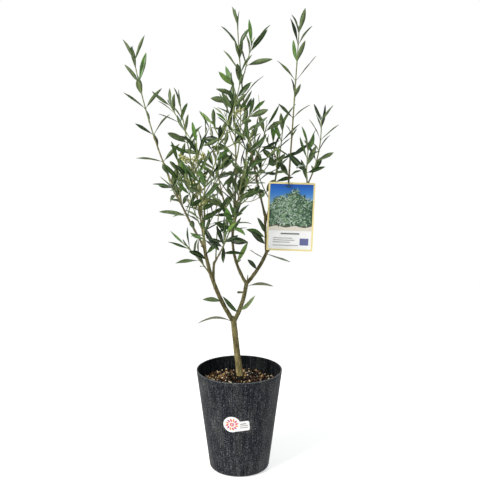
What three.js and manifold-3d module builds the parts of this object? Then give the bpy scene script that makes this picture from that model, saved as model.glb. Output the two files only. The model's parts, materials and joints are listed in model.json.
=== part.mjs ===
// Young potted olive tree: a slim trunk that forks low, upright boughs, long leafy shoots,
// a deep black nursery pot with its soil, and a plant label tied to the right leader.
// Millimetres, +Z up. The origin is the centre of the pot's flat underside.
import * as THREE from "three";
import { mergeVertices } from "three/addons/utils/BufferGeometryUtils.js";
import Module from "manifold-3d";

const wasm = await Module();
wasm.setup();

const GAP = 0.3; // left between pieces that touch
const SLIVER = 0.02; // edges shorter than this are closed up after the cuts
const MERGED = 0.04; // the small facets where a leaf meets its twig are merged to within this

// Pot: a 5-size nursery pot, 150 mm across the rim and 180 mm deep
const POT = {
  height: 180,
  rimRadius: 75,
  footRadius: 53,
  footCorner: 7,
  wall: 1.9,
  lip: 2.6,
  lipDepth: 3,
  centreRadius: 12,
  channelOuter: 41,
  channelDepth: 2.5,
  floorTop: 5,
  sides: 32,
  drainHoles: 6,
  drainRadius: 5,
  drainCircle: 26,
};
// Soil: a low mound that is flat under the trunk
const SOIL = { top: 165, edge: 156.5, footRadius: 13, sides: 24 };

// Limbs: each leaves its parent at a share of the parent's length, passes one point and ends at its tip
const LIMBS = {
  trunk: {
    start: [2, 2, SOIL.top - 5], via: [-4.2, 1, 212], tip: [-10, 0, 268], radius: [5.7, 5.0], sides: 12,
  },
  left_bough: { parent: "trunk", via: [-41, -7, 329], tip: [-60, -15, 407], radius: [4.0, 2.7], sides: 9 },
  right_bough: { parent: "trunk", via: [3, 3, 293], tip: [12.5, 6, 334], radius: [4.0, 3.4], sides: 9 },
  left_inner_bough: {
    parent: "left_bough", at: 0.5, via: [-44, -6, 358], tip: [-43, -4, 370], radius: [2.4, 2.2], sides: 8,
  },
  centre_bough: {
    parent: "right_bough", via: [-9, 9, 384], tip: [-9, 13, 440], radius: [2.8, 2.0], sides: 8,
  },
  outer_right_bough: {
    parent: "right_bough", via: [32, 9, 357], tip: [48, 12, 388], radius: [3.3, 2.8], sides: 8,
  },
  right_upright_bough: {
    parent: "outer_right_bough", at: 0.94,
    via: [45, 13, 420], tip: [44, 15, 450], radius: [2.3, 2.0], sides: 8,
  },
  right_rear_bough: {
    parent: "outer_right_bough", via: [70, 20, 418], tip: [81, 23, 455], radius: [2.5, 2.1], sides: 8,
  },
};
// The trunk's extra radius at the soil, and the height over which it fades
const ROOT_FLARE = { radius: 1.0, height: 9 };

// Masses of foliage: the first stem of a mass leaves its bough at a share `from` of the bough's length, and
// each further stem leaves stem `on` at a share `at` of its length. `gap` is the distance between pairs of
// leaves, `bare` the leafless share at the stem's foot, and `shoots` the chance of a side shoot at a pair,
// up to a share `shootsTo` of its length.
const MASSES = {
  foliage_left_leader: {
    bough: "left_bough", from: 0.95, seed: 12, radius: 1.9,
    stems: [
      { via: [-112, -6, 505], tip: [-174, 12, 712], gap: 27, bare: 0.1, shoots: 0.7, shootsTo: 0.33 },
      { on: 0, at: 0.24, via: [-98, -28, 497], tip: [-99, -42, 545], gap: 17, bare: 0.25, shoots: 0 },
    ],
  },
  foliage_left_front: {
    bough: "left_bough", from: 0.88, seed: 1, radius: 1.6, flowers: 0.55,
    stems: [
      { via: [-67, -40, 475], tip: [-93, -64, 636], gap: 22, bare: 0.16, shoots: 0.35, shootsTo: 0.7 },
    ],
  },
  foliage_left_inner: {
    bough: "left_bough", from: 1, seed: 39, radius: 1.9, flowers: 0.3,
    stems: [
      { via: [-58, -18, 474], tip: [-57, -22, 547], gap: 23, bare: 0.12, shoots: 0.5, shootsTo: 0.9 },
      {
        on: 0, at: 1, via: [-83, -16, 586], tip: [-113, -10, 636],
        gap: 22, bare: 0.12, shoots: 0.2, shootsTo: 0.6,
      },
      {
        on: 0, at: 1, via: [-24, -45, 597], tip: [0, -58, 668],
        gap: 19, bare: 0.15, shoots: 0.3, shootsTo: 0.7,
      },
    ],
  },
  foliage_centre: {
    bough: "centre_bough", from: 1, seed: 9, radius: 1.9,
    stems: [
      { via: [-6, 18, 530], tip: [-9, 27, 640], gap: 20, bare: 0.08, shoots: 0.4, shootsTo: 0.7 },
      { on: 0, at: 0.14, via: [7, 2, 492], tip: [20, -12, 528], gap: 17, bare: 0.25, shoots: 0 },
      { on: 0, at: 0.5, via: [1, 42, 580], tip: [2, 52, 626], gap: 18, bare: 0.2, shoots: 0 },
    ],
  },
  foliage_top_leader: {
    bough: "right_upright_bough", from: 1, seed: 18, radius: 1.9,
    stems: [
      { via: [20, 22, 560], tip: [-3, 31, 771], gap: 26, bare: 0.1, shoots: 0.5, shootsTo: 0.55 },
      { on: 0, at: 0.7, via: [13, 22, 706], tip: [20, 16, 734], gap: 24, bare: 0.45, shoots: 0 },
      { on: 0, at: 0.28, via: [36, 4, 570], tip: [45, -10, 602], gap: 17, bare: 0.25, shoots: 0 },
    ],
  },
  foliage_right_leader: {
    bough: "right_rear_bough", from: 1, seed: 4, radius: 1.8,
    stems: [{ via: [87, 17, 560], tip: [98, 10, 756], gap: 36, bare: 0.2, shoots: 0 }],
  },
  foliage_right_inner: {
    bough: "right_upright_bough", from: 0.8, seed: 6, radius: 1.6,
    stems: [{ via: [64, 42, 516], tip: [76, 60, 604], gap: 20, bare: 0.22, shoots: 0.4, shootsTo: 0.7 }],
  },
  foliage_right_outer: {
    bough: "right_rear_bough", from: 0.9, seed: 5, radius: 1.6,
    stems: [
      { via: [119, 19, 508], tip: [136, 0, 612], gap: 23, bare: 0.38, shoots: 0.2, shootsTo: 0.7 },
      { on: 0, at: 0.36, via: [112, -14, 534], tip: [113, -32, 572], gap: 17, bare: 0.4, shoots: 0 },
    ],
  },
  foliage_low_middle: {
    bough: "left_inner_bough", from: 1, seed: 10, radius: 1.5, flowers: 0.3,
    stems: [
      { via: [-24, -28, 410], tip: [-5, -50, 470], gap: 18, bare: 0.2, shoots: 0.2, shootsTo: 0.7 },
      { on: 0, at: 0.06, via: [-38, -22, 412], tip: [-34, -44, 462], gap: 17, bare: 0.25, shoots: 0 },
    ],
  },
  foliage_low_left: {
    bough: "left_bough", from: 0.6, seed: 21, radius: 1.2,
    stems: [{ via: [-68, -14, 378], tip: [-88, -20, 402], gap: 16, bare: 0.3, shoots: 0 }],
  },
  foliage_back_left: {
    bough: "centre_bough", from: 0.84, seed: 12, radius: 1.7,
    stems: [{ via: [-32, 72, 486], tip: [-52, 118, 590], gap: 21, bare: 0.16, shoots: 0.4, shootsTo: 0.7 }],
  },
  foliage_back_right: {
    bough: "centre_bough", from: 0.91, seed: 10, radius: 1.7,
    stems: [{ via: [14, 66, 512], tip: [34, 112, 612], gap: 21, bare: 0.2, shoots: 0.4, shootsTo: 0.7 }],
  },
  foliage_front_left: {
    bough: "left_bough", from: 0.8, seed: 15, radius: 1.6,
    stems: [
      { via: [-62, -64, 485], tip: [-66, -108, 585], gap: 21, bare: 0.18, shoots: 0.35, shootsTo: 0.7 },
    ],
  },
  foliage_front_right: {
    bough: "centre_bough", from: 0.76, seed: 1, radius: 1.6,
    stems: [{ via: [3, -42, 512], tip: [20, -92, 600], gap: 21, bare: 0.3, shoots: 0.3, shootsTo: 0.7 }],
  },
};
const TIP_RADIUS = 0.75; // of a stem
const SHOOT = { length: 60, angle: 42, rise: 0.22, radius: [1.1, 0.7], gap: 19, bare: 0.3 };
const LEAF = { length: 44, width: 8.5, thickness: 1.1, sunk: 0.1, angle: [62, 24], roll: 75 };
const FLOWER = { length: 24, angle: 40, stalk: 0.7, bud: 2.4, buds: 2, zone: [0.1, 0.75] };
const TRIES = 3; // turns that a leaf or shoot tries before it is skipped
const TURN = 27; // degrees between those tries

// Single leaves on the trunk and boughs: where each sits, where its tip lies from there, and its blade's
// roll in degrees
const BOUGH_LEAVES = [
  { limb: "trunk", at: 0.97, reach: [-56, -14, 2], roll: -14 },
  { limb: "left_bough", at: 0.28, reach: [-27, -10, 6], roll: -65 },
  { limb: "right_bough", at: 0.25, reach: [-24, -16, 30], roll: -85 },
  { limb: "right_bough", at: 0.31, reach: [22, -14, 25], roll: 80 },
  { limb: "right_bough", at: 0.9, reach: [43, -10, 3], roll: 12 },
  { limb: "centre_bough", at: 0.35, reach: [18, -12, 36], roll: 85 },
  { limb: "outer_right_bough", at: 0.45, reach: [-15, -14, 19], roll: -85 },
  { limb: "outer_right_bough", at: 0.8, reach: [-22, -14, 16], roll: -10 },
  { limb: "outer_right_bough", at: 0.93, reach: [38, -16, -10], roll: 10 },
  { limb: "right_upright_bough", at: 0.22, reach: [-24, -12, 24], roll: -70 },
  { limb: "right_upright_bough", at: 0.4, reach: [-30, -10, 16], roll: -65 },
  { limb: "right_upright_bough", at: 0.52, reach: [-13, -16, 27], roll: -75 },
  { limb: "left_bough", at: 0.8, reach: [-26, -18, 17], roll: -60 },
  { limb: "left_bough", at: 0.86, reach: [16, -26, 18], roll: 60 },
];

// Label: a printed card that hangs by a wire tie from the right leader
const LABEL = {
  width: 79, height: 118, thickness: 0.8, corner: 2, lean: 1.8,
  centre: [87.5, 8, 448], holeShift: -6, holeSpread: 4.6, holeRadius: 2, holeDrop: 8,
};
const TIE = { wire: 0.7, bulge: 4, tail: 13, sides: 5, steps: 16 };

// Sticker on the pot's front: a disc with a tab to its right
const STICKER = {
  thickness: 0.5, disc: [-12.5, 103], discRadius: 14.5, tab: [3, 100], tabSize: [29, 18], corner: 3, lean: 5,
};

const UP = new THREE.Vector3(0, 0, 1);
const DEPTH = new THREE.Vector3(0, 1, 0);
const vec = (a) => new THREE.Vector3(...a);
const mix = (a, b, t) => a + (b - a) * t;
const radians = THREE.MathUtils.degToRad;

// A number from 0 to 1 that depends only on the three integers
function chance(a, b, c) {
  const s = Math.sin(a * 127.1 + b * 311.7 + c * 74.7) * 43758.5453;
  return s - Math.floor(s);
}

// A bend: a quadratic curve from start to tip that passes via on the way
class Bend {
  constructor(start, via, tip) {
    const share = start.distanceTo(via) / (start.distanceTo(via) + via.distanceTo(tip));
    this.start = start;
    this.tip = tip;
    this.control = via.clone()
      .addScaledVector(start, -((1 - share) ** 2))
      .addScaledVector(tip, -(share ** 2))
      .divideScalar(2 * share * (1 - share));
    const hull = start.distanceTo(this.control) + this.control.distanceTo(tip);
    this.length = (2 * start.distanceTo(tip) + hull) / 3;
  }

  point(t) {
    return this.start.clone().multiplyScalar((1 - t) ** 2)
      .addScaledVector(this.control, 2 * t * (1 - t))
      .addScaledVector(this.tip, t * t);
  }

  frame(t) {
    const along = this.control.clone().sub(this.start).multiplyScalar(1 - t)
      .addScaledVector(this.tip.clone().sub(this.control), t).normalize();
    const side = new THREE.Vector3().crossVectors(along, DEPTH).normalize();
    return { along, side, across: new THREE.Vector3().crossVectors(side, along) };
  }
}

// ---- solids ----

function solidOf(geometry) {
  const bare = geometry.clone();
  bare.deleteAttribute("normal");
  bare.deleteAttribute("uv");
  const merged = mergeVertices(bare, 1e-4);
  return new wasm.Manifold(new wasm.Mesh({
    numProp: 3,
    vertProperties: merged.attributes.position.array,
    triVerts: new Uint32Array(merged.index.array),
  }));
}

// The largest closed body of a solid: this drops loose scraps and fills sealed hollows
function mainBody(solid) {
  return solid.decompose().sort((a, b) => b.volume() - a.volume())[0];
}

function meshOf(name, solid, material) {
  const { vertProperties, triVerts } = mainBody(solid).asOriginal().simplify(SLIVER).getMesh();
  const geometry = new THREE.BufferGeometry();
  geometry.setAttribute("position", new THREE.BufferAttribute(vertProperties, 3));
  geometry.setIndex(new THREE.BufferAttribute(triVerts, 1));
  geometry.computeVertexNormals();
  const mesh = new THREE.Mesh(geometry, material);
  mesh.name = name;
  return mesh;
}

// A tapering limb: a closed cylinder bent along the curve. `grown` makes it larger all round.
function limbSolid({ bend, radiusAt, sides, step }, grown = 0) {
  const rings = Math.max(2, Math.round(bend.length / step));
  const geometry = new THREE.CylinderGeometry(1, 1, 1, sides, rings);
  const place = geometry.attributes.position;
  for (let i = 0; i < place.count; i++) {
    const t = place.getY(i) + 0.5;
    const { along, side, across } = bend.frame(t);
    const r = radiusAt(t) + grown;
    const end = (t > 0.999 ? grown : 0) - (t < 0.001 ? grown : 0);
    const p = bend.point(t)
      .addScaledVector(side, place.getX(i) * r)
      .addScaledVector(across, place.getZ(i) * r)
      .addScaledVector(along, end);
    place.setXYZ(i, p.x, p.y, p.z);
  }
  return solidOf(geometry);
}

// A leaf's blade: an octahedron that is flat above, with its ridge below where the midrib is
function bladeSolid({ root, along, normal, length, width, thickness }) {
  const across = new THREE.Vector3().crossVectors(normal, along);
  const basis = new THREE.Matrix4().makeBasis(
    along.clone().multiplyScalar(length / 2),
    across.multiplyScalar(width / 2),
    normal.clone().multiplyScalar(thickness),
  );
  basis.setPosition(root.clone().addScaledVector(along, length / 2));
  const blade = new THREE.OctahedronGeometry(1);
  const place = blade.attributes.position;
  for (let i = 0; i < place.count; i++) place.setZ(i, Math.min(0, place.getZ(i)));
  return solidOf(blade.applyMatrix4(basis));
}

// ---- the rule that the crown grows by ----

const obstacles = []; // balls along every limb, twig, leaf and the label, each with its owner

function note(balls, mass, twig) {
  balls.forEach(([p, r]) => obstacles.push({ p, r, mass, twig }));
}

function limbBalls({ bend, radiusAt }) {
  const count = Math.ceil(bend.length / 3);
  return Array.from({ length: count + 1 }, (_, i) => [bend.point(i / count), radiusAt(i / count) + 0.6]);
}

function leafBalls({ root, along, length, width }) {
  return [0.12, 0.22, 0.33, 0.44, 0.56, 0.68, 0.8, 0.9, 1].map((s) => [
    root.clone().addScaledVector(along, s * length),
    Math.max(s < 0.2 ? 1.6 : 2.4, (width / 2) * Math.sin(Math.PI * s)),
  ]);
}

// True if the balls are clear of everything else. What shares the mass may come closer.
function isClear(balls, mass, twig) {
  return obstacles.every((o) => {
    if (o.mass === mass && o.twig === twig) return true;
    return balls.every(([p, r]) => p.distanceTo(o.p) > (o.mass === mass ? 0.9 * (r + o.r) : r + o.r + GAP));
  });
}

// A direction at an angle from the twig, turned about it
function outward({ along, side, across }, angle, turn) {
  return along.clone().multiplyScalar(Math.cos(angle))
    .addScaledVector(side, Math.sin(angle) * Math.cos(turn))
    .addScaledVector(across, Math.sin(angle) * Math.sin(turn));
}

// The places of the pairs of leaves on a twig: closer together towards its tip
function pairPlaces({ bend, gap, bare }) {
  const places = [];
  for (let t = bare; t < 0.95; t += (gap / bend.length) * (1 - 0.25 * t)) places.push(t);
  places.push(0.985);
  return places;
}

// Leaves stand in opposite pairs, each pair a quarter turn on from the last
const pairTurn = (seed, twig, pair) =>
  2 * Math.PI * chance(seed, twig, 1) + pair * (Math.PI / 2) + 0.5 * (chance(seed, twig + 40, pair) - 0.5);

function growShoot(name, mass, twigs, parent, pair, t) {
  const key = parent.id * 50 + pair;
  const base = parent.bend.point(t);
  const length = SHOOT.length * (1 - 0.35 * t) * (0.75 + 0.5 * chance(mass.seed, key, 2));
  const id = twigs.length;
  for (let attempt = 0; attempt < TRIES; attempt++) {
    const turn = pairTurn(mass.seed, parent.id, pair) + Math.PI * Math.round(chance(mass.seed, key, 3))
      + attempt * radians(TURN);
    const heading = outward(parent.bend.frame(t), radians(SHOOT.angle), turn);
    const via = base.clone().addScaledVector(heading, length * 0.5);
    const tip = base.clone().addScaledVector(heading, length * 0.95)
      .addScaledVector(UP, length * SHOOT.rise);
    const bend = new Bend(base, via, tip);
    const radiusAt = (s) => mix(...SHOOT.radius, s);
    const { gap, bare } = SHOOT;
    const twig = { id, bend, radiusAt, sides: 3, step: 16, gap, bare, isShoot: true };
    const balls = limbBalls(twig).slice(4).map(([p, r]) => [p, r + 2]);
    if (!isClear(balls, name, parent.id)) continue;
    note(limbBalls(twig), name, id);
    twigs.push(twig);
    return;
  }
}

// The leaf of a pair: half is 0 or 1 for its two sides
function growLeaf(name, mass, twig, pair, t, half) {
  const key = (twig.id * 50 + pair) * 2 + half;
  const root = twig.bend.point(t);
  const frame = twig.bend.frame(t);
  const width = LEAF.width * (0.8 + 0.45 * chance(mass.seed, key, 5)) * (1 - 0.3 * t * t);
  const roll = radians(LEAF.roll) * (2 * chance(mass.seed, key, 7) - 1);
  for (let attempt = 0; attempt < TRIES; attempt++) {
    const length = LEAF.length * (0.82 + 0.3 * chance(mass.seed, key, 4)) * (1 - 0.15 * t ** 3)
      * (twig.isShoot ? 0.85 : 1) * (1 - 0.05 * attempt);
    const angle = radians(mix(...LEAF.angle, t ** 2.5) + 22 * (chance(mass.seed, key, 6) - 0.5));
    const turn = pairTurn(mass.seed, twig.id, pair) + half * Math.PI
      + attempt * radians(TURN) * (half ? 1 : -1);
    const along = outward(frame, angle, turn);
    const normal = frame.along.clone().addScaledVector(along, -frame.along.dot(along)).normalize()
      .applyAxisAngle(along, roll);
    const leaf = { root, along, normal, length, width, thickness: LEAF.thickness };
    const balls = leafBalls(leaf);
    if (!isClear(balls, name, twig.id)) continue;
    note(balls, name, -1 - key);
    return [leaf];
  }
  return [];
}

// A small panicle of flower buds in the axil of a leaf
function growFlower(name, mass, twig, pair, t) {
  const key = twig.id * 50 + pair;
  const turn = pairTurn(mass.seed, twig.id, pair) + Math.PI * Math.round(chance(mass.seed, key, 9));
  const along = outward(twig.bend.frame(t), radians(FLOWER.angle), turn);
  const root = twig.bend.point(t);
  const length = FLOWER.length * (0.8 + 0.4 * chance(mass.seed, key, 10));
  const flower = { root, along, length, width: 5 };
  const balls = leafBalls(flower);
  if (!isClear(balls, name, twig.id)) return [];
  note(balls, name, -1 - key * 2);
  return [flower];
}

const within = (t, [low, high]) => t > low && t < high;

// Stems of every mass first, then their shoots, then leaves and flowers
function growCrown(limbs) {
  const crown = {};
  for (const [name, mass] of Object.entries(MASSES)) {
    const twigs = [];
    mass.stems.forEach((stem, id) => {
      const bough = limbs[mass.bough].bend;
      const start = id === 0 ? bough.point(mass.from) : twigs[stem.on].bend.point(stem.at);
      const foot = id === 0 ? mass.radius : twigs[stem.on].radiusAt(stem.at) * (stem.at < 1 ? 0.85 : 1);
      const bend = new Bend(start, vec(stem.via), vec(stem.tip));
      const radiusAt = (t) => mix(foot, TIP_RADIUS, t);
      const twig = { ...stem, id, bend, radiusAt, sides: 5, step: 23 };
      note(limbBalls(twig), name, id);
      twigs.push(twig);
    });
    crown[name] = { mass, twigs, leaves: [], flowers: [] };
  }
  for (const [name, { mass, twigs }] of Object.entries(crown)) {
    for (const stem of [...twigs]) {
      pairPlaces(stem).forEach((t, pair) => {
        if (t < stem.shootsTo && chance(mass.seed, stem.id * 50 + pair, 8) < stem.shoots) {
          growShoot(name, mass, twigs, stem, pair, t);
        }
      });
    }
  }
  for (const [name, { mass, twigs, leaves, flowers }] of Object.entries(crown)) {
    for (const twig of twigs) {
      pairPlaces(twig).forEach((t, pair) => {
        const blooms = chance(mass.seed, twig.id * 50 + pair, 11) < (mass.flowers ?? 0);
        if (!twig.isShoot && within(t, FLOWER.zone) && blooms) {
          flowers.push(...growFlower(name, mass, twig, pair, t));
        }
        leaves.push(...growLeaf(name, mass, twig, pair, t, 0));
        leaves.push(...growLeaf(name, mass, twig, pair, t, 1));
      });
    }
  }
  return crown;
}

// ---- pot, soil and label ----

// A closed solid of revolution about Z from an outline of [radius, height] points
function turned(outline, sides) {
  const points = [...outline, outline[0]].map(([r, z]) => new THREE.Vector2(r, z));
  return solidOf(new THREE.LatheGeometry(points, sides).rotateX(Math.PI / 2));
}

const potSlope = (POT.rimRadius - POT.footRadius) / (POT.height - POT.footCorner);
const potRadius = (z) => POT.footRadius + (z - POT.footCorner) * potSlope;

function potSolid() {
  const corner = Array.from({ length: 4 }, (_, i) => {
    const a = (i / 3) * (Math.PI / 2);
    return [
      POT.footRadius - POT.footCorner + POT.footCorner * Math.sin(a),
      POT.footCorner - POT.footCorner * Math.cos(a),
    ];
  });
  const shell = turned([
    [0, 0],
    [POT.centreRadius, 0],
    [POT.centreRadius + POT.channelDepth, POT.channelDepth],
    [POT.channelOuter - POT.channelDepth, POT.channelDepth],
    [POT.channelOuter, 0],
    ...corner,
    [potRadius(POT.height - 1), POT.height - 1],
    [POT.rimRadius - 0.8, POT.height],
    [POT.rimRadius - POT.lip + 0.4, POT.height],
    [POT.rimRadius - POT.lip, POT.height - POT.lipDepth],
    [potRadius(POT.height - 2 * POT.lipDepth) - POT.wall, POT.height - 2 * POT.lipDepth],
    [potRadius(POT.floorTop + 4) - POT.wall, POT.floorTop + 4],
    [POT.footRadius - POT.footCorner, POT.floorTop],
    [0, POT.floorTop],
  ], POT.sides);
  const holes = Array.from({ length: POT.drainHoles }, (_, i) => {
    const a = (i / POT.drainHoles) * 2 * Math.PI;
    const hole = new THREE.CylinderGeometry(POT.drainRadius, POT.drainRadius, 4 * POT.floorTop, 8);
    const [x, y] = [POT.drainCircle * Math.cos(a), POT.drainCircle * Math.sin(a)];
    return solidOf(hole.rotateX(Math.PI / 2).translate(x, y, POT.floorTop));
  });
  return holes.reduce((pot, hole) => pot.subtract(hole), shell);
}

// Soil, clear of the pot's faceted wall all round
function soilSolid() {
  const inset = POT.wall + GAP + potRadius(SOIL.edge) * (1 - Math.cos(Math.PI / POT.sides));
  return turned([
    [0, POT.floorTop + GAP],
    [POT.footRadius - POT.footCorner - 1, POT.floorTop + GAP],
    [potRadius(POT.floorTop + 5) - inset - GAP, POT.floorTop + 5],
    [potRadius(SOIL.edge) - inset, SOIL.edge],
    [(potRadius(SOIL.edge) + SOIL.footRadius) / 2, mix(SOIL.edge, SOIL.top, 0.6)],
    [SOIL.footRadius, SOIL.top],
    [0, SOIL.top],
  ], SOIL.sides);
}

// A rectangle with rounded corners, centred on the origin
function roundedRectangle(width, height, r) {
  const [w, h] = [width / 2, height / 2];
  const shape = new THREE.Shape();
  shape.moveTo(-w + r, -h);
  shape.lineTo(w - r, -h).quadraticCurveTo(w, -h, w, -h + r);
  shape.lineTo(w, h - r).quadraticCurveTo(w, h, w - r, h);
  shape.lineTo(-w + r, h).quadraticCurveTo(-w, h, -w, h - r);
  shape.lineTo(-w, -h + r).quadraticCurveTo(-w, -h, -w + r, -h);
  return shape;
}

// The sticker: a thin skin round the wall, kept where the disc and its tab are
function stickerSolid() {
  const [low, high] = [STICKER.disc[1] - 20, STICKER.disc[1] + 20];
  const skin = turned([
    [potRadius(low) + GAP, low],
    [potRadius(low) + GAP + STICKER.thickness, low],
    [potRadius(high) + GAP + STICKER.thickness, high],
    [potRadius(high) + GAP, high],
  ], POT.sides);
  const options = { depth: POT.rimRadius, bevelEnabled: false, curveSegments: 3 };
  const circle = new THREE.Shape().absarc(0, 0, STICKER.discRadius, 0, 2 * Math.PI);
  const disc = new THREE.ExtrudeGeometry(circle, { ...options, curveSegments: 20 })
    .rotateX(Math.PI / 2).translate(STICKER.disc[0], 0, STICKER.disc[1]);
  const tab = new THREE.ExtrudeGeometry(roundedRectangle(...STICKER.tabSize, STICKER.corner), options)
    .rotateZ(radians(STICKER.lean)).rotateX(Math.PI / 2).translate(STICKER.tab[0], 0, STICKER.tab[1]);
  return skin.intersect(solidOf(disc).add(solidOf(tab)));
}

// The label's frame: x to its right, z up along its leaning edge
const labelTurn = new THREE.Matrix4().makeRotationY(radians(LABEL.lean)).setPosition(...LABEL.centre);
const labelPoint = (x, y, z) => new THREE.Vector3(x, y, z).applyMatrix4(labelTurn);

function labelSolid() {
  const card = roundedRectangle(LABEL.width, LABEL.height, LABEL.corner);
  for (const x of [-LABEL.holeSpread, LABEL.holeSpread]) {
    const hole = new THREE.Path();
    const z = LABEL.height / 2 - LABEL.holeDrop;
    hole.absarc(LABEL.holeShift + x, z, LABEL.holeRadius, 0, 2 * Math.PI, true);
    card.holes.push(hole);
  }
  const geometry = new THREE.ExtrudeGeometry(card, {
    depth: LABEL.thickness, bevelEnabled: false, curveSegments: 5,
  });
  geometry.rotateX(Math.PI / 2).translate(0, LABEL.thickness / 2, 0).applyMatrix4(labelTurn);
  return solidOf(geometry);
}

// Balls over the label, so that no leaf comes near it
function labelBalls() {
  const balls = [];
  for (let x = -LABEL.width / 2; x <= LABEL.width / 2; x += 5.5) {
    for (let z = -LABEL.height / 2; z <= LABEL.height / 2; z += 5.5) balls.push([labelPoint(x, 0, z), 3.6]);
  }
  return balls;
}

// The tie: a flat oval of wire through both holes and round the leader. Its twisted end stands up in front.
function tieSolid(leader) {
  const up = LABEL.height / 2 - LABEL.holeDrop + LABEL.holeRadius - TIE.wire - 1.5 * GAP;
  const level = labelPoint(LABEL.holeShift, 0, up);
  const t = (level.z - leader.bend.start.z) / (leader.bend.tip.z - leader.bend.start.z);
  const stem = [0, 1, 2, 3].reduce((s) => s + (level.z - leader.bend.point(s).z) / leader.bend.length, t);
  const held = leader.bend.point(stem);
  const back = held.y + leader.radiusAt(stem) + GAP + TIE.wire;
  const front = level.y - LABEL.thickness / 2 - TIE.bulge;
  const [middle, reach] = [(back + front) / 2, (back - front) / 2];
  const loop = new THREE.TorusGeometry(reach, TIE.wire, TIE.sides, TIE.steps);
  const half = LABEL.holeSpread / Math.sqrt(1 - ((level.y - middle) / reach) ** 2);
  loop.scale(half / reach, 1, 1).rotateY(radians(LABEL.lean)).translate(held.x, middle, level.z);
  const tail = new THREE.CylinderGeometry(TIE.wire, TIE.wire * 1.3, TIE.tail, TIE.sides);
  tail.rotateX(Math.PI / 2).translate(held.x, front, level.z + TIE.tail / 2 - 1);
  return solidOf(loop).add(solidOf(tail));
}

// ---- the whole part ----

const finish = (color, roughness) => new THREE.MeshStandardMaterial({ color, roughness, metalness: 0 });
const MATERIALS = {
  pot: finish(0x2b2c2f, 0.62),
  soil: finish(0x4a3324, 0.95),
  bark: finish(0x8a8060, 0.85),
  leaf: finish(0x3f5f30, 0.5),
  sticker: finish(0xeeeaea, 0.45),
  label: finish(0x8fb0c8, 0.4),
  tie: finish(0x2f4f2a, 0.5),
};

function placedLimbs() {
  const limbs = {};
  for (const [name, size] of Object.entries(LIMBS)) {
    const start = size.parent ? limbs[size.parent].bend.point(size.at ?? 0.97) : vec(size.start);
    const bend = new Bend(start, vec(size.via), vec(size.tip));
    const fade = (t) => Math.exp((5 - t * bend.length) / ROOT_FLARE.height);
    const flare = (t) => (size.parent ? 0 : ROOT_FLARE.radius * fade(t));
    limbs[name] = {
      ...size, bend, step: size.parent ? 14 : 9,
      radiusAt: (t) => mix(...size.radius, t) + flare(t),
    };
  }
  return limbs;
}

function boughLeaf({ limb, at, reach, roll }, limbs) {
  const { bend, radiusAt } = limbs[limb];
  const along = vec(reach).normalize();
  const frame = bend.frame(at);
  const slant = Math.sqrt(1 - along.dot(frame.along) ** 2);
  const root = bend.point(at).addScaledVector(along, (radiusAt(at) + GAP) / slant);
  const normal = UP.clone().addScaledVector(along, -along.z).normalize()
    .applyAxisAngle(along, radians(roll));
  return { root, along, normal, length: vec(reach).length(), width: LEAF.width, thickness: LEAF.thickness };
}

const part = new THREE.Group();
const limbs = placedLimbs();
Object.entries(limbs).forEach(([name, limb]) => note(limbBalls(limb), name, 0));
note(labelBalls(), "label", 0);
const singles = BOUGH_LEAVES.map((leaf) => boughLeaf(leaf, limbs));
singles.forEach((leaf, i) => note(leafBalls(leaf), "single", i));
const crown = growCrown(limbs);

part.add(meshOf("pot", potSolid(), MATERIALS.pot));
part.add(meshOf("soil", soilSolid(), MATERIALS.soil));
part.add(meshOf("sticker", stickerSolid(), MATERIALS.sticker));

// Each limb is cut clear of the ground and of the limbs before it
const ground = solidOf(new THREE.BoxGeometry(100, 100, 40).translate(0, 0, SOIL.top + GAP - 20));
const grownLimbs = [];
for (const [name, limb] of Object.entries(limbs)) {
  const solid = grownLimbs.reduce((left, other) => left.subtract(other), limbSolid(limb).subtract(ground));
  part.add(meshOf(name, solid, MATERIALS.bark));
  grownLimbs.push(limbSolid(limb, GAP));
}

singles.forEach((leaf, i) => {
  const solid = grownLimbs.reduce((left, other) => left.subtract(other), bladeSolid(leaf));
  part.add(meshOf("single_leaf_" + (i + 1), solid, MATERIALS.leaf));
});

// A panicle: its stalk and the buds on it
function flowerSolids({ root, along, length }) {
  const middle = root.clone().addScaledVector(along, length / 2);
  const stalk = new Bend(root, middle, root.clone().addScaledVector(along, length));
  const { side, across } = stalk.frame(0);
  const solids = [limbSolid({ bend: stalk, radiusAt: () => FLOWER.stalk, sides: 3, step: 30 })];
  for (let i = 0; i < FLOWER.buds; i++) {
    const out = i === FLOWER.buds - 1 ? 0 : FLOWER.bud * 0.6;
    const place = root.clone().addScaledVector(along, length * mix(0.6, 0.95, i / (FLOWER.buds - 1)))
      .addScaledVector(side, out * Math.cos(i * 2)).addScaledVector(across, out * Math.sin(i * 2));
    const bud = new THREE.OctahedronGeometry(FLOWER.bud).translate(place.x, place.y, place.z);
    solids.push(solidOf(bud));
  }
  return solids;
}

// Each mass is one fused solid, cut clear of the limbs and of the stems that share its bough
const grownStems = {};
for (const [name, { mass, twigs, leaves, flowers }] of Object.entries(crown)) {
  const sunk = (leaf) => ({
    ...leaf,
    root: leaf.root.clone().addScaledVector(leaf.along, -LEAF.sunk),
    length: leaf.length + LEAF.sunk,
  });
  const pieces = [
    ...twigs.map((twig) => limbSolid(twig)),
    ...leaves.map((leaf) => bladeSolid(sunk(leaf))),
    ...flowers.flatMap(flowerSolids),
  ];
  const neighbours = [...grownLimbs, ...(grownStems[mass.bough] ?? [])];
  const fused = wasm.Manifold.union(pieces).asOriginal().simplify(MERGED);
  const solid = neighbours.reduce((left, other) => left.subtract(other), fused);
  part.add(meshOf(name, solid, MATERIALS.leaf));
  grownStems[mass.bough] = [...(grownStems[mass.bough] ?? []), ...twigs.slice(0, mass.stems.length)
    .map((twig) => limbSolid(twig, GAP))];
}

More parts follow.
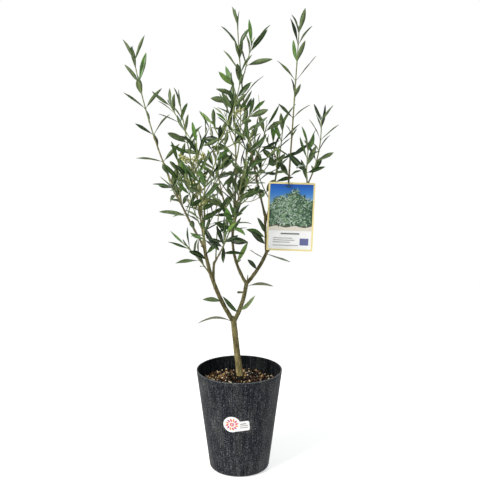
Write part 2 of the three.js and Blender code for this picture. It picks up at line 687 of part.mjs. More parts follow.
part.add(meshOf("label", labelSolid(), MATERIALS.label));
part.add(meshOf("label_tie", tieSolid(crown.foliage_right_leader.twigs[0]), MATERIALS.tie));

export default part;
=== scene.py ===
"""A young olive tree in a black nursery pot. The crown grows by a seeded rule from the same named
sizes as the solids, in millimetres, and each mesh is made in metres in the frame of the model."""

import json
import math

import bpy
import numpy as np
from mathutils import Matrix, Vector, geometry, kdtree, noise

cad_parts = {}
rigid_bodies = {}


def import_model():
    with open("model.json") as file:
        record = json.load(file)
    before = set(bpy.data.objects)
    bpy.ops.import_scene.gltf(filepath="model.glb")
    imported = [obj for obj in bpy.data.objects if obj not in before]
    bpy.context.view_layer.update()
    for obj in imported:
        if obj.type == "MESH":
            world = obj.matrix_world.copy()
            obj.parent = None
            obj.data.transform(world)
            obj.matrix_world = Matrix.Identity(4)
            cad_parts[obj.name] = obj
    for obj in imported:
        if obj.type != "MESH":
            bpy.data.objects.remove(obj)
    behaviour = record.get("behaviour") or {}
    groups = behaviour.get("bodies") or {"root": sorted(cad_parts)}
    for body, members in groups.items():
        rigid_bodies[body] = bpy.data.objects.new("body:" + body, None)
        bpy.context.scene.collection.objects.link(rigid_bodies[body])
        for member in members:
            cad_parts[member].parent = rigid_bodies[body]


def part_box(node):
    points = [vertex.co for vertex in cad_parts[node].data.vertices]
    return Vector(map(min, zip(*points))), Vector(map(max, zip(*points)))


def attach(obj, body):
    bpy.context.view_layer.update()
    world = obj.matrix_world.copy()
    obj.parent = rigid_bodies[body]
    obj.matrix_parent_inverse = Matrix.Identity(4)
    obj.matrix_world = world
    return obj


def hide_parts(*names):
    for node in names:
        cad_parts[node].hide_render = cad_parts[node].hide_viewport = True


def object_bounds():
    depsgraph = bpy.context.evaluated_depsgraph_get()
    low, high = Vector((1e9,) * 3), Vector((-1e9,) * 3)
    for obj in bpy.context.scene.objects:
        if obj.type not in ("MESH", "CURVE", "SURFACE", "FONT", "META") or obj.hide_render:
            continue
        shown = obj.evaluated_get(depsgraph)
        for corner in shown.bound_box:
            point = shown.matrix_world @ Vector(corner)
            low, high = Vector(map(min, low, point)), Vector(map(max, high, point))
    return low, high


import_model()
cad_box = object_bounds()

MM = 0.001
BOX_LOW, BOX_HIGH = (np.array(corner) / MM for corner in cad_box)

# ---- named sizes, in millimetres, as the solids have them ----

GAP = 0.3
POT = dict(
    height=180, rim_radius=75, foot_radius=53, foot_corner=7, wall=1.9, lip=2.6, lip_depth=3,
    centre_radius=12, channel_outer=41, channel_depth=2.5, floor_top=5,
    drain_holes=6, drain_radius=5, drain_circle=26,
)
SOIL = dict(top=165, edge=156.5, foot_radius=13)
LIMBS = {
    "trunk": dict(start=(2, 2, 160), via=(-4.2, 1, 212), tip=(-10, 0, 268), radius=(5.7, 5.0)),
    "left_bough": dict(parent="trunk", via=(-41, -7, 329), tip=(-60, -15, 407), radius=(4.0, 2.7)),
    "right_bough": dict(parent="trunk", via=(3, 3, 293), tip=(12.5, 6, 334), radius=(4.0, 3.4)),
    "left_inner_bough": dict(
        parent="left_bough", at=0.5, via=(-44, -6, 358), tip=(-43, -4, 370), radius=(2.4, 2.2)),
    "centre_bough": dict(parent="right_bough", via=(-9, 9, 384), tip=(-9, 13, 440), radius=(2.8, 2.0)),
    "outer_right_bough": dict(parent="right_bough", via=(32, 9, 357), tip=(48, 12, 388), radius=(3.3, 2.8)),
    "right_upright_bough": dict(
        parent="outer_right_bough", at=0.94, via=(45, 13, 420), tip=(44, 15, 450), radius=(2.3, 2.0)),
    "right_rear_bough": dict(
        parent="outer_right_bough", via=(70, 20, 418), tip=(81, 23, 455), radius=(2.5, 2.1)),
}
ROOT_FLARE = dict(radius=1.0, height=9)


def stem(via, tip, gap, bare, shoots=0, shoots_to=1, on=0, at=1):
    """A stem through one point to its tip. A further stem leaves stem `on` at a share `at` of its length."""
    return dict(via=via, tip=tip, gap=gap, bare=bare, shoots=shoots, shoots_to=shoots_to, on=on, at=at)


def mass(bough, start, seed, radius, *stems, flowering=0, blossom=0, thin=0, bold=1):
    """A mass of foliage, whose first stem leaves its bough at a share `start` of the bough's length.

    `flowering` is the chance of a panicle in an axil in the solids, and `blossom` of one that stands
    here alone. `thin` is the share of leaves left out below CROWN_TOP, and `bold` enlarges those above it.
    """
    return dict(bough=bough, start=start, seed=seed, radius=radius, stems=stems,
                flowering=flowering, blossom=blossom, thin=thin, bold=bold)


MASSES = {
    "foliage_left_leader": mass(
        "left_bough", 0.95, 12, 1.9,
        stem((-112, -6, 505), (-174, 12, 712), 27, 0.1, 0.7, 0.33),
        stem((-98, -28, 497), (-99, -42, 545), 17, 0.25, on=0, at=0.24),
        thin=0.2, bold=1.2),
    "foliage_left_front": mass(
        "left_bough", 0.88, 1, 1.6,
        stem((-67, -40, 475), (-93, -64, 636), 22, 0.16, 0.35, 0.7),
        flowering=0.55, blossom=0.85, thin=0.14),
    "foliage_left_inner": mass(
        "left_bough", 1, 39, 1.9,
        stem((-58, -18, 474), (-57, -22, 547), 23, 0.12, 0.5, 0.9),
        stem((-83, -16, 586), (-113, -10, 636), 22, 0.12, 0.2, 0.6, on=0, at=1),
        stem((-24, -45, 597), (0, -58, 668), 19, 0.15, 0.3, 0.7, on=0, at=1),
        flowering=0.3, blossom=0.5, thin=0.24),
    "foliage_centre": mass(
        "centre_bough", 1, 9, 1.9,
        stem((-6, 18, 530), (-9, 27, 640), 20, 0.08, 0.4, 0.7),
        stem((7, 2, 492), (20, -12, 528), 17, 0.25, on=0, at=0.14),
        stem((1, 42, 580), (2, 52, 626), 18, 0.2, on=0, at=0.5),
        thin=0.4),
    "foliage_top_leader": mass(
        "right_upright_bough", 1, 18, 1.9,
        stem((20, 22, 560), (-3, 31, 771), 26, 0.1, 0.5, 0.55),
        stem((13, 22, 706), (20, 16, 734), 24, 0.45, on=0, at=0.7),
        stem((36, 4, 570), (45, -10, 602), 17, 0.25, on=0, at=0.28),
        thin=0.34, bold=1.2),
    "foliage_right_leader": mass(
        "right_rear_bough", 1, 4, 1.8,
        stem((87, 17, 560), (98, 10, 756), 36, 0.2),
        bold=1.18),
    "foliage_right_inner": mass(
        "right_upright_bough", 0.8, 6, 1.6,
        stem((64, 42, 516), (76, 60, 604), 20, 0.22, 0.4, 0.7),
        thin=0.4),
    "foliage_right_outer": mass(
        "right_rear_bough", 0.9, 5, 1.6,
        stem((119, 19, 508), (136, 0, 612), 23, 0.38, 0.2, 0.7),
        stem((112, -14, 534), (113, -32, 572), 17, 0.4, on=0, at=0.36)),
    "foliage_low_middle": mass(
        "left_inner_bough", 1, 10, 1.5,
        stem((-24, -28, 410), (-5, -50, 470), 18, 0.2, 0.2, 0.7),
        stem((-38, -22, 412), (-34, -44, 462), 17, 0.25, on=0, at=0.06),
        flowering=0.3),
    "foliage_low_left": mass(
        "left_bough", 0.6, 21, 1.2,
        stem((-68, -14, 378), (-88, -20, 402), 16, 0.3)),
    "foliage_back_left": mass(
        "centre_bough", 0.84, 12, 1.7,
        stem((-32, 72, 486), (-52, 118, 590), 21, 0.16, 0.4, 0.7),
        thin=0.25),
    "foliage_back_right": mass(
        "centre_bough", 0.91, 10, 1.7,
        stem((14, 66, 512), (34, 112, 612), 21, 0.2, 0.4, 0.7),
        thin=0.46),
    "foliage_front_left": mass(
        "left_bough", 0.8, 15, 1.6,
        stem((-62, -64, 485), (-66, -108, 585), 21, 0.18, 0.35, 0.7),
        thin=0.12),
    "foliage_front_right": mass(
        "centre_bough", 0.76, 1, 1.6,
        stem((3, -42, 512), (20, -92, 600), 21, 0.3, 0.3, 0.7),
        thin=0.4),
}
TIP_RADIUS = 0.75  # of a stem
SHOOT = dict(length=60, angle=42, reach=0.95, rise=0.22, radius=(1.1, 0.7), gap=19, bare=0.3)
LEAF = dict(length=44, width=8.5, angle=(62, 24), roll=75)
FLOWER = dict(length=24, width=5, angle=40, zone=(0.1, 0.75))
TRIES = 3  # turns that a leaf or shoot tries before it is skipped
TURN = 27  # degrees between those tries

# Single leaves: limb, share of its length, where the tip lies from there, the blade's roll in degrees,
# how far the leaf arches upwards, and the look of its upper side
BOUGH_LEAVES = [
    ("trunk", 0.97, (-56, -14, 2), -14, 0.13, "dull"),
    ("left_bough", 0.28, (-27, -10, 6), -65, 0.06, "grey"),
    ("right_bough", 0.25, (-24, -16, 30), -85, -0.11, "dark"),
    ("right_bough", 0.31, (22, -14, 25), 80, -0.11, "underside"),
    ("right_bough", 0.9, (43, -10, 3), 12, 0.09, "dull"),
    ("centre_bough", 0.35, (18, -12, 36), 85, -0.06, "young"),
    ("outer_right_bough", 0.45, (-15, -14, 19), -85, 0.03, "deep"),
    ("outer_right_bough", 0.8, (-22, -14, 16), -10, -0.03, "dark"),
    ("outer_right_bough", 0.93, (38, -16, -10), 10, -0.04, "grey"),
    ("right_upright_bough", 0.22, (-24, -12, 24), -70, -0.04, "deep"),
    ("right_upright_bough", 0.4, (-30, -10, 16), -65, 0.03, "mid"),
    ("right_upright_bough", 0.52, (-13, -16, 27), -75, -0.04, "dark"),
    ("left_bough", 0.8, (-26, -18, 17), -60, 0.04, "deep"),
    ("left_bough", 0.86, (16, -26, 18), 60, 0.03, "dark"),
]
LABEL = dict(
    width=79, height=118, thickness=0.8, corner=2, lean=1.8,
    centre=(87.5, 8, 448), hole_shift=-6, hole_spread=4.6, hole_radius=2, hole_drop=8,
)
TIE = dict(wire=0.7, bulge=4, tail=13)
STICKER = dict(
    thickness=0.5, disc=(-12.5, 103), disc_radius=14.5, tab=(3, 100), tab_size=(29, 18), corner=3, lean=5,
)

# ---- finer growth, which the solids don't have ----

SPRIG = dict(
    chance=0.07, length=(15, 30), angle=36, reach=1, rise=0.25, radius=(0.65, 0.45), gap=8, bare=0.35,
    last=0.93, places=(0.45, 0.78, 0.98), leaf=(19, 30), width=(4.4, 6.6), leaf_angle=(58, 24),
)
END_BUDS = dict(at=0.995, length=(7, 13), width=2.2, angle=9)  # the pair that ends a twig
BLOOM = (450, 552)  # heights between which the tree carries its extra panicles
CROWN_TOP = 625  # leaves that sit above this height are never left out, and may be enlarged
# Added to the number of an axil or leaf, so that what grows there draws by itself
SPRIG_KEYS, BLOSSOM_KEYS, CURL_KEYS = 5000, 3000, 7000

UP = np.array([0.0, 0.0, 1.0])
DEPTH = np.array([0.0, 1.0, 0.0])


def mix(a, b, t):
    return a + (b - a) * t


def unit(v):
    return v / np.linalg.norm(v)


def ring(count, shift=0):
    """Equal angles all round"""
    return (np.arange(count) + shift) * 2 * math.pi / count


def polar(radius, angle, centre=(0, 0)):
    """A place on a circle"""
    return centre[0] + radius * math.cos(angle), centre[1] + radius * math.sin(angle)


def turned(x, z, angle):
    return x * math.cos(angle) - z * math.sin(angle), x * math.sin(angle) + z * math.cos(angle)


def within(point, low, high, margin=0):
    """Whether a point is inside a box by more than the margin"""
    return np.all(point > low + margin) and np.all(point < high - margin)


def chance(a, b, c):
    """A number from 0 to 1 that depends only on the three integers"""
    s = math.sin(a * 127.1 + b * 311.7 + c * 74.7) * 43758.5453
    return s - math.floor(s)


# ---- the rule that the crown grows by ----


class Bend:
    """A quadratic curve from start to tip that passes via on the way"""

    def __init__(self, start, via, tip):
        start, via, tip = (np.array(p, float) for p in (start, via, tip))
        first, last = np.linalg.norm(via - start), np.linalg.norm(tip - via)
        share = first / (first + last)
        self.start, self.tip = start, tip
        self.control = (via - (1 - share) ** 2 * start - share**2 * tip) / (2 * share * (1 - share))
        hull = np.linalg.norm(self.control - start) + np.linalg.norm(tip - self.control)
        self.length = (2 * np.linalg.norm(tip - start) + hull) / 3

    def point(self, t):
        return (1 - t) ** 2 * self.start + 2 * t * (1 - t) * self.control + t * t * self.tip

    def frame(self, t):
        along = unit((1 - t) * (self.control - self.start) + t * (self.tip - self.control))
        side = unit(np.cross(along, DEPTH))
        return along, side, np.cross(side, along)


class Twig:
    """A stem, shoot or sprig, with the radii of its two ends and the gap between its pairs of leaves"""

    def __init__(self, number, bend, radius, gap, bare, is_shoot=False, shoots=0, shoots_to=1):
        self.number, self.bend, self.radius = number, bend, radius
        self.gap, self.bare, self.is_shoot = gap, bare, is_shoot
        self.shoots, self.shoots_to = shoots, shoots_to

    def radius_at(self, t):
        return mix(*self.radius, t)

    def key(self, pair):
        """The number that a pair of leaves draws by"""
        return self.number * 50 + pair

    def balls(self):
        count = math.ceil(self.bend.length / 3)
        return [(self.bend.point(i / count), self.radius_at(i / count) + 0.6) for i in range(count + 1)]


class Limb(Twig):
    """The trunk or a bough. `flare` is 1 where it stands in the soil, and 0 elsewhere."""

    def __init__(self, bend, radius, flare):
        super().__init__(0, bend, radius, 0, 0)
        self.flare = flare

    def radius_at(self, t):
        grown = ROOT_FLARE["radius"] * math.exp((5 - t * self.bend.length) / ROOT_FLARE["height"])
        return mix(*self.radius, t) + self.flare * grown


class Space:
    """Balls along every limb, twig, leaf and the label, each with its owner"""

    def __init__(self, most=60000):
        self.place, self.size = np.zeros((most, 3)), np.zeros(most)
        self.mass, self.twig = np.zeros(most, int), np.zeros(most, int)
        self.count, self.names = 0, {}

    def key(self, name):
        return self.names.setdefault(name, len(self.names))

    def note(self, balls, mass, twig):
        end = self.count + len(balls)
        self.place[self.count:end] = [p for p, _ in balls]
        self.size[self.count:end] = [r for _, r in balls]
        self.mass[self.count:end] = self.key(mass)
        self.twig[self.count:end] = twig
        self.count = end

    def is_clear(self, balls, mass, twig):
        """Whether the balls are clear of all but their own twig. What shares the mass may be closer."""
        n = self.count
        places, sizes = np.array([p for p, _ in balls]), np.array([r for _, r in balls])
        apart = np.linalg.norm(self.place[None, :n] - places[:, None], axis=2)
        both = self.size[None, :n] + sizes[:, None]
        same = self.mass[:n] == self.key(mass)
        need = np.where(same[None], 0.9 * both, both + GAP)
        own = same & (self.twig[:n] == twig)
        return bool(np.all((apart > need) | own[None]))


def leaf_balls(leaf):
    balls = []
    for share in (0.12, 0.22, 0.33, 0.44, 0.56, 0.68, 0.8, 0.9, 1):
        least = 1.6 if share < 0.2 else 2.4
        size = max(least, leaf["width"] / 2 * math.sin(math.pi * share))
        balls.append((leaf["root"] + leaf["along"] * (share * leaf["length"]), size))
    return balls


def outward(axes, angle, turn):
    """A direction at an angle from the twig, turned about it"""
    along, side, across = axes
    return along * math.cos(angle) + math.sin(angle) * (side * math.cos(turn) + across * math.sin(turn))


def pair_places(twig):
    """The places of the pairs of leaves on a twig: closer together towards its tip"""
    places, t = [], twig.bare
    while t < 0.95:
        places.append(t)
        t += (twig.gap / twig.bend.length) * (1 - 0.25 * t)
    return places + [0.985]


def axils(twigs):
    """Every pair of leaves on the twigs: its twig, its number and its place"""
    return [(twig, pair, t) for twig in twigs for pair, t in enumerate(pair_places(twig))]


def pair_turn(seed, number, pair):
    """Leaves stand in opposite pairs, each pair about a quarter turn on from the last"""
    first, drift = chance(seed, number, 1), 0.5 * (chance(seed, number + 40, pair) - 0.5)
    return 2 * math.pi * first + pair * math.pi / 2 + drift


def either_side(seed, key, draw):
    return math.pi * math.floor(chance(seed, key, draw) + 0.5)


def facing(axis, along, roll):
    """The normal of a leaf's upper side: towards the axis, rolled about the leaf"""
    normal = unit(axis - along * np.dot(axis, along))
    return normal * math.cos(roll) + np.cross(along, normal) * math.sin(roll)


def blade(root, axis, along, roll, length, width, key, young, **more):
    """A leaf that points along a direction, with its upper side towards the axis"""
    return dict(root=root, along=along, normal=facing(axis, along, roll), length=length, width=width,
                key=key, young=young, **more)


def side_twig(parent, t, turn, length, size, number):
    """A shoot or sprig that leaves its parent and bends upwards"""
    base = parent.bend.point(t)
    heading = outward(parent.bend.frame(t), math.radians(size["angle"]), turn)
    tip = base + heading * (length * size["reach"]) + UP * (length * size["rise"])
    bend = Bend(base, base + heading * (length * 0.5), tip)
    return Twig(number, bend, size["radius"], size["gap"], size["bare"], is_shoot=True)


def grow_shoot(space, name, part, parent, pair, t):
    seed, twigs, key = part["seed"], part["twigs"], parent.key(pair)
    length = SHOOT["length"] * (1 - 0.35 * t) * (0.75 + 0.5 * chance(seed, key, 2))
    for attempt in range(TRIES):
        turn = pair_turn(seed, parent.number, pair) + either_side(seed, key, 3) + attempt * math.radians(TURN)
        twig = side_twig(parent, t, turn, length, SHOOT, len(twigs))
        if space.is_clear([(p, r + 2) for p, r in twig.balls()[4:]], name, parent.number):
            space.note(twig.balls(), name, twig.number)
            twigs.append(twig)
            return


def grow_leaf(space, name, part, twig, pair, t, half):
    """The leaf of a pair: half is 0 or 1 for its two sides"""
    seed, key = part["seed"], twig.key(pair) * 2 + half
    root, axes = twig.bend.point(t), twig.bend.frame(t)
    width = LEAF["width"] * (0.8 + 0.45 * chance(seed, key, 5)) * (1 - 0.3 * t * t)
    roll = math.radians(LEAF["roll"]) * (2 * chance(seed, key, 7) - 1)
    young = 0.5 * t + (0.3 if twig.is_shoot else 0)
    for attempt in range(TRIES):
        length = LEAF["length"] * (0.82 + 0.3 * chance(seed, key, 4)) * (1 - 0.15 * t**3)
        length *= (0.85 if twig.is_shoot else 1) * (1 - 0.05 * attempt)
        angle = math.radians(mix(*LEAF["angle"], t**2.5) + 22 * (chance(seed, key, 6) - 0.5))
        tried = attempt * math.radians(TURN) * (1 if half else -1)
        turn = pair_turn(seed, twig.number, pair) + half * math.pi + tried
        leaf = blade(root, axes[0], outward(axes, angle, turn), roll, length, width, key, young)
        balls = leaf_balls(leaf)
        if space.is_clear(balls, name, twig.number):
            space.note(balls, name, -1 - key)
            part["leaves"].append(leaf)
            return


def panicle(twig, t, turn, share, key):
    """A panicle in an axil, with a share of the usual length"""
    along = outward(twig.bend.frame(t), math.radians(FLOWER["angle"]), turn)
    return dict(root=twig.bend.point(t), along=along, length=FLOWER["length"] * share,
                width=FLOWER["width"], key=key)


def grow_flower(space, name, part, twig, pair, t):
    seed, key = part["seed"], twig.key(pair)
    turn = pair_turn(seed, twig.number, pair) + either_side(seed, key, 9)
    flower = panicle(twig, t, turn, 0.8 + 0.4 * chance(seed, key, 10), key)
    balls = leaf_balls(flower)
    if space.is_clear(balls, name, twig.number):
        space.note(balls, name, -1 - key * 2)
        part["flowers"].append(flower)


def grow_stems(space, name, size, limbs):
    twigs = []
    for number, own in enumerate(size["stems"]):
        if number == 0:
            start, foot = limbs[size["bough"]].bend.point(size["start"]), size["radius"]
        else:
            parent = twigs[own["on"]]
            start = parent.bend.point(own["at"])
            foot = parent.radius_at(own["at"]) * (0.85 if own["at"] < 1 else 1)
        twig = Twig(number, Bend(start, own["via"], own["tip"]), (foot, TIP_RADIUS), own["gap"], own["bare"],
                    shoots=own["shoots"], shoots_to=own["shoots_to"])
        space.note(twig.balls(), name, number)
        twigs.append(twig)
    return twigs


def grow_crown(space, limbs):
    """Stems of every mass first, then their shoots, then leaves and flowers"""
    crown = {}
    for name, size in MASSES.items():
        twigs = grow_stems(space, name, size, limbs)
        crown[name] = dict(size, twigs=twigs, sprigs=[], leaves=[], flowers=[])
    for name, part in crown.items():
        for main, pair, t in axils(part["twigs"]):
            if t < main.shoots_to and chance(part["seed"], main.key(pair), 8) < main.shoots:
                grow_shoot(space, name, part, main, pair, t)
    low, high = FLOWER["zone"]
    for name, part in crown.items():
        for twig, pair, t in axils(part["twigs"]):
            blooms = chance(part["seed"], twig.key(pair), 11) < part["flowering"]
            if not twig.is_shoot and low < t < high and blooms:
                grow_flower(space, name, part, twig, pair, t)
            for half in (0, 1):
                grow_leaf(space, name, part, twig, pair, t, half)
    return crown


def grow_sprigs(space, crown):
    """Finer twigs in the axils of the pairs, each with small leaves, and the buds that end each twig"""
    for name, part in crown.items():
        seed = part["seed"]
        for twig, pair, t in axils(part["twigs"]):
            for half in (0, 1):
                key = SPRIG_KEYS + twig.key(pair) * 2 + half
                if t < SPRIG["last"] and chance(seed, key, 21) < SPRIG["chance"] * (1.6 - t):
                    turn = pair_turn(seed, twig.number, pair) + half * math.pi + 0.5
                    grow_sprig(space, name, part, twig, t, turn, key)
        for twig in part["twigs"]:
            part["leaves"] += tip_leaves(seed, twig)


def grow_sprig(space, name, part, parent, t, turn, key):
    """A sprig inside the mass's own box, where there is room for it and for two of its leaves"""
    seed = part["seed"]
    low, high = (np.array(corner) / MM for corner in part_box(name))
    length = mix(*SPRIG["length"], chance(seed, key, 22)) * (1.15 - 0.5 * t)
    twig = side_twig(parent, t, turn, length, SPRIG, key)
    bend, balls = twig.bend, twig.balls()
    has_room = space.is_clear([(p, 1.6) for p, _ in balls[2:]], name, parent.number)
    if not has_room or not within(bend.tip, low, high, 2):
        return
    leaves = []
    for step, share in enumerate(SPRIG["places"]):
        for side in (0, 1):
            root, axes = bend.point(share), bend.frame(share)
            leaf_turn = turn + step * math.pi / 2 + side * math.pi
            along = outward(axes, math.radians(mix(*SPRIG["leaf_angle"], share)), leaf_turn)
            draw = key * 8 + step * 2 + side
            length = mix(*SPRIG["leaf"], chance(seed, draw, 23)) * mix(1, 0.72, share)
            width = mix(*SPRIG["width"], chance(seed, draw, 24)) * mix(1, 0.75, share)
            roll = 0.6 * (chance(seed, draw, 25) - 0.5)
            spots = [(root + along * (s * length), 1.5) for s in (0.35, 0.6, 0.8, 1)]
            if within(root + along * length, low, high) and space.is_clear(spots, name, key):
                space.note(spots, name, -1 - draw)
                leaves.append(blade(root, axes[0], along, roll, length, width, draw, 0.75 + 0.25 * share))
    if len(leaves) > 1:
        space.note([(p, 1.2) for p, _ in balls], name, key)
        part["sprigs"].append(twig)
        part["leaves"] += leaves


def tip_leaves(seed, twig):
    """The bud pair that ends a twig"""
    root, axes = twig.bend.point(END_BUDS["at"]), twig.bend.frame(1)
    leaves = []
    for side in (0, 1):
        draw = twig.number * 2 + side + 90
        turn = 1 + side * math.pi + 3 * chance(seed, draw, 31)
        along = outward(axes, math.radians(END_BUDS["angle"]), turn)
        length = mix(*END_BUDS["length"], chance(seed, draw, 32))
        leaves.append(blade(root, axes[0], along, 0.3, length, END_BUDS["width"], draw, 1))
    return leaves


def grow_blossom(crown):
    """Panicles in the axils of a mass's first stem, at the heights where the tree is in bloom"""
    low, high = BLOOM
    for part in crown.values():
        seed = part["seed"]
        for stalk, pair, t in axils(part["twigs"][:1]):
            for half in (0, 1):
                key = BLOSSOM_KEYS + pair * 2 + half
                if low < stalk.bend.point(t)[2] < high and chance(seed, key, 61) < part["blossom"]:
                    turn = pair_turn(seed, stalk.number, pair) + half * math.pi + 0.7
                    share = mix(0.75, 1.05, chance(seed, key, 62))
                    part["flowers"].append(panicle(stalk, t, turn, share, key))


def place_limbs():
    limbs = {}
    for name, size in LIMBS.items():
        parent = size.get("parent")
        start = limbs[parent].bend.point(size.get("at", 0.97)) if parent else size["start"]
        limbs[name] = Limb(Bend(start, size["via"], size["tip"]), size["radius"], 0 if parent else 1)
    return limbs


def place_singles(limbs):
    """The single leaves. `sunk` is how far each stalk reaches back to the middle of its limb."""
    leaves = []
    for number, (name, at, reach, roll, arch, look) in enumerate(BOUGH_LEAVES):
        limb = limbs[name]
        length = np.linalg.norm(reach)
        along, axis = unit(np.array(reach, float)), limb.bend.frame(at)[0]
        sunk = (limb.radius_at(at) + GAP) / math.sqrt(1 - np.dot(along, axis) ** 2)
        root, rise = limb.bend.point(at) + along * sunk, UP * (arch * length)
        leaves.append(blade(root, UP, along, math.radians(roll), length, LEAF["width"], number, 0.1,
                            rise=rise, look=look, sunk=sunk))
    return leaves


def label_point(x, y, z):
    """A place in the label's own frame: x to its right, z up along its leaning edge"""
    across, up = turned(x, z, -math.radians(LABEL["lean"]))
    return np.array(LABEL["centre"]) + (across, y, up)


def label_balls(spacing=5.5, size=3.6):
    """Balls over the label, so that no leaf comes near it"""
    width, height = LABEL["width"], LABEL["height"]
    return [
        (label_point(-width / 2 + spacing * i, 0, -height / 2 + spacing * j), size)
        for i in range(int(width / spacing) + 1) for j in range(int(height / spacing) + 1)
    ]


limbs = place_limbs()
space = Space()
for limb_name, limb in limbs.items():
    space.note(limb.balls(), limb_name, 0)
space.note(label_balls(), "label", 0)
singles = place_singles(limbs)
for number, leaf in enumerate(singles):
    space.note(leaf_balls(leaf), "single", number)
crown = grow_crown(space, limbs)
grow_sprigs(space, crown)
grow_blossom(crown)

# ---- materials ----


def linear(colour):
    """A colour written as six hexadecimal digits, in linear light"""
    values = [int(colour[i:i + 2], 16) / 255 for i in (0, 2, 4)]
    return tuple(v / 12.92 if v <= 0.04045 else ((v + 0.055) / 1.055) ** 2.4 for v in values) + (1.0,)


class Look:
    """A material and short ways to add nodes to it"""

    def __init__(self, name, colour, roughness, specular=0.5):
        self.material = bpy.data.materials.new(name)
        self.material.use_nodes = True
        self.nodes, self.links = self.material.node_tree.nodes, self.material.node_tree.links
        self.shader = self.nodes["Principled BSDF"]
        self.shader.inputs["Base Color"].default_value = linear(colour)
        self.shader.inputs["Roughness"].default_value = roughness
        self.shader.inputs["Specular IOR Level"].default_value = specular

    def fill(self, socket, value):
        if hasattr(value, "is_output"):
            self.links.new(value, socket)
        else:
            socket.default_value = linear(value) if isinstance(value, str) else value

    def add(self, kind, inputs=None, **settings):
        node = self.nodes.new(kind)
        for key, value in settings.items():
            setattr(node, key, value)
        for key, value in (inputs or {}).items():
            self.fill(node.inputs[key], value)
        return node

    def place(self, source="Object"):
        return self.add("ShaderNodeTexCoord").outputs[source]

    def noise(self, scale, stretch=(1, 1, 1), detail=3.0, source="Object", rough=0.5):
        mapping = self.add("ShaderNodeMapping", {"Vector": self.place(source), "Scale": stretch})
        return self.add("ShaderNodeTexNoise", {
            "Vector": mapping.outputs["Vector"], "Scale": scale, "Detail": detail, "Roughness": rough,
        }).outputs["Fac"]

    def spread(self, value, kind="LINEAR", **limits):
        """The value mapped from one range to another, such as From_Min=0.2 or To_Max=0.5"""
        inputs = {key.replace("_", " "): limit for key, limit in limits.items()}
        node = self.add("ShaderNodeMapRange", {"Value": value, **inputs}, interpolation_type=kind)
        return node.outputs["Result"]

    def height_share(self, low, high):
        """0 to 1 between two heights, in metres"""
        height = self.add("ShaderNodeSeparateXYZ", {0: self.place()}).outputs["Z"]
        return self.spread(height, From_Min=low, From_Max=high)

    def total(self, first, second):
        return self.add("ShaderNodeMath", {0: first, 1: second}, operation="ADD").outputs[0]

    def ramp(self, value, *stops):
        node = self.add("ShaderNodeValToRGB", {"Fac": value})
        ramp = node.color_ramp
        while len(ramp.elements) < len(stops):
            ramp.elements.new(0.5)
        for element, (at, colour) in zip(ramp.elements, stops):
            element.position, element.color = at, linear(colour)
        return node.outputs["Color"]

    def blend(self, share, first, second, kind="MIX"):
        node = self.add("ShaderNodeMix", data_type="RGBA", blend_type=kind)
        for number, value in ((0, share), (6, first), (7, second)):
            self.fill(node.inputs[number], value)
        return node.outputs[2]

    def colour(self, socket):
        self.links.new(socket, self.shader.inputs["Base Color"])
        return self

    def bump(self, height, strength, distance):
        node = self.add("ShaderNodeBump", {"Height": height, "Strength": strength, "Distance": distance})
        self.links.new(node.outputs["Normal"], self.shader.inputs["Normal"])
        return self

    def rough(self, value, low, high):
        self.links.new(self.spread(value, To_Min=low, To_Max=high), self.shader.inputs["Roughness"])
        return self


def leafy(name, dark, light, roughness, specular=0.5):
    look = Look(name, dark, roughness, specular)
    look.colour(look.ramp(look.noise(220, detail=2), (0.35, dark), (0.68, light)))
    return look.bump(look.noise(1500, detail=2), 0.25, 0.0003).material


def mottled(name, stops, scale, roughness, stretch=(1, 1, 1), specular=0.5):
    look = Look(name, stops[0][1], roughness, specular)
    value = look.noise(scale, stretch, detail=5)
    return look.colour(look.ramp(value, *stops)).bump(value, 0.3, 0.0003).material


LEAF_LOOKS = {
    "deep": leafy("leaf_deep_green", "182c11", "284119", 0.36, 0.45),
    "dark": leafy("leaf_dark_green", "2c461b", "3f5c25", 0.34, 0.48),
    "mid": leafy("leaf_mid_green", "466f2b", "628d39", 0.36, 0.45),
    "grey": leafy("leaf_grey_green", "4c5e38", "62744a", 0.5, 0.3),
    "young": leafy("leaf_young_green", "678a38", "80a24e", 0.38, 0.42),
    "midrib": leafy("leaf_midrib", "5f7641", "728852", 0.5, 0.3),
    "underside": leafy("leaf_silver_underside", "5d6e47", "77885d", 0.65, 0.2),
    "young_underside": leafy("leaf_young_underside", "788a52", "90a26a", 0.6, 0.2),
    "dull": leafy("leaf_dull_grey", "666a54", "7f826a", 0.6, 0.2),
}
# From the oldest and thickest to the youngest
TWIG_SKINS = [
    mottled(name, stops, 260, roughness, stretch=(1, 1, 0.4)) for name, roughness, stops in (
        ("twig_old_skin", 0.75, [(0.3, "4a4027"), (0.55, "6c6140"), (0.75, "877b56")]),
        ("twig_olive_skin", 0.65, [(0.3, "6a653c"), (0.6, "8d8758")]),
        ("twig_green_skin", 0.55, [(0.3, "68733b"), (0.6, "87915a")]),
        ("twig_young_skin", 0.5, [(0.3, "7c8b48"), (0.6, "98a563")]),
    )
]
CREAM, PALE_GREEN, STALK = range(3)
BUD_SKINS = [
    mottled("bud_cream", [(0.3, "cbc78a"), (0.7, "e4dfae")], 900, 0.6),
    mottled("bud_pale_green", [(0.3, "a3aa62"), (0.7, "c2c480")], 900, 0.6),
    mottled("panicle_stalk", [(0.3, "8fa35a"), (0.7, "a3b56d")], 400, 0.55),
]


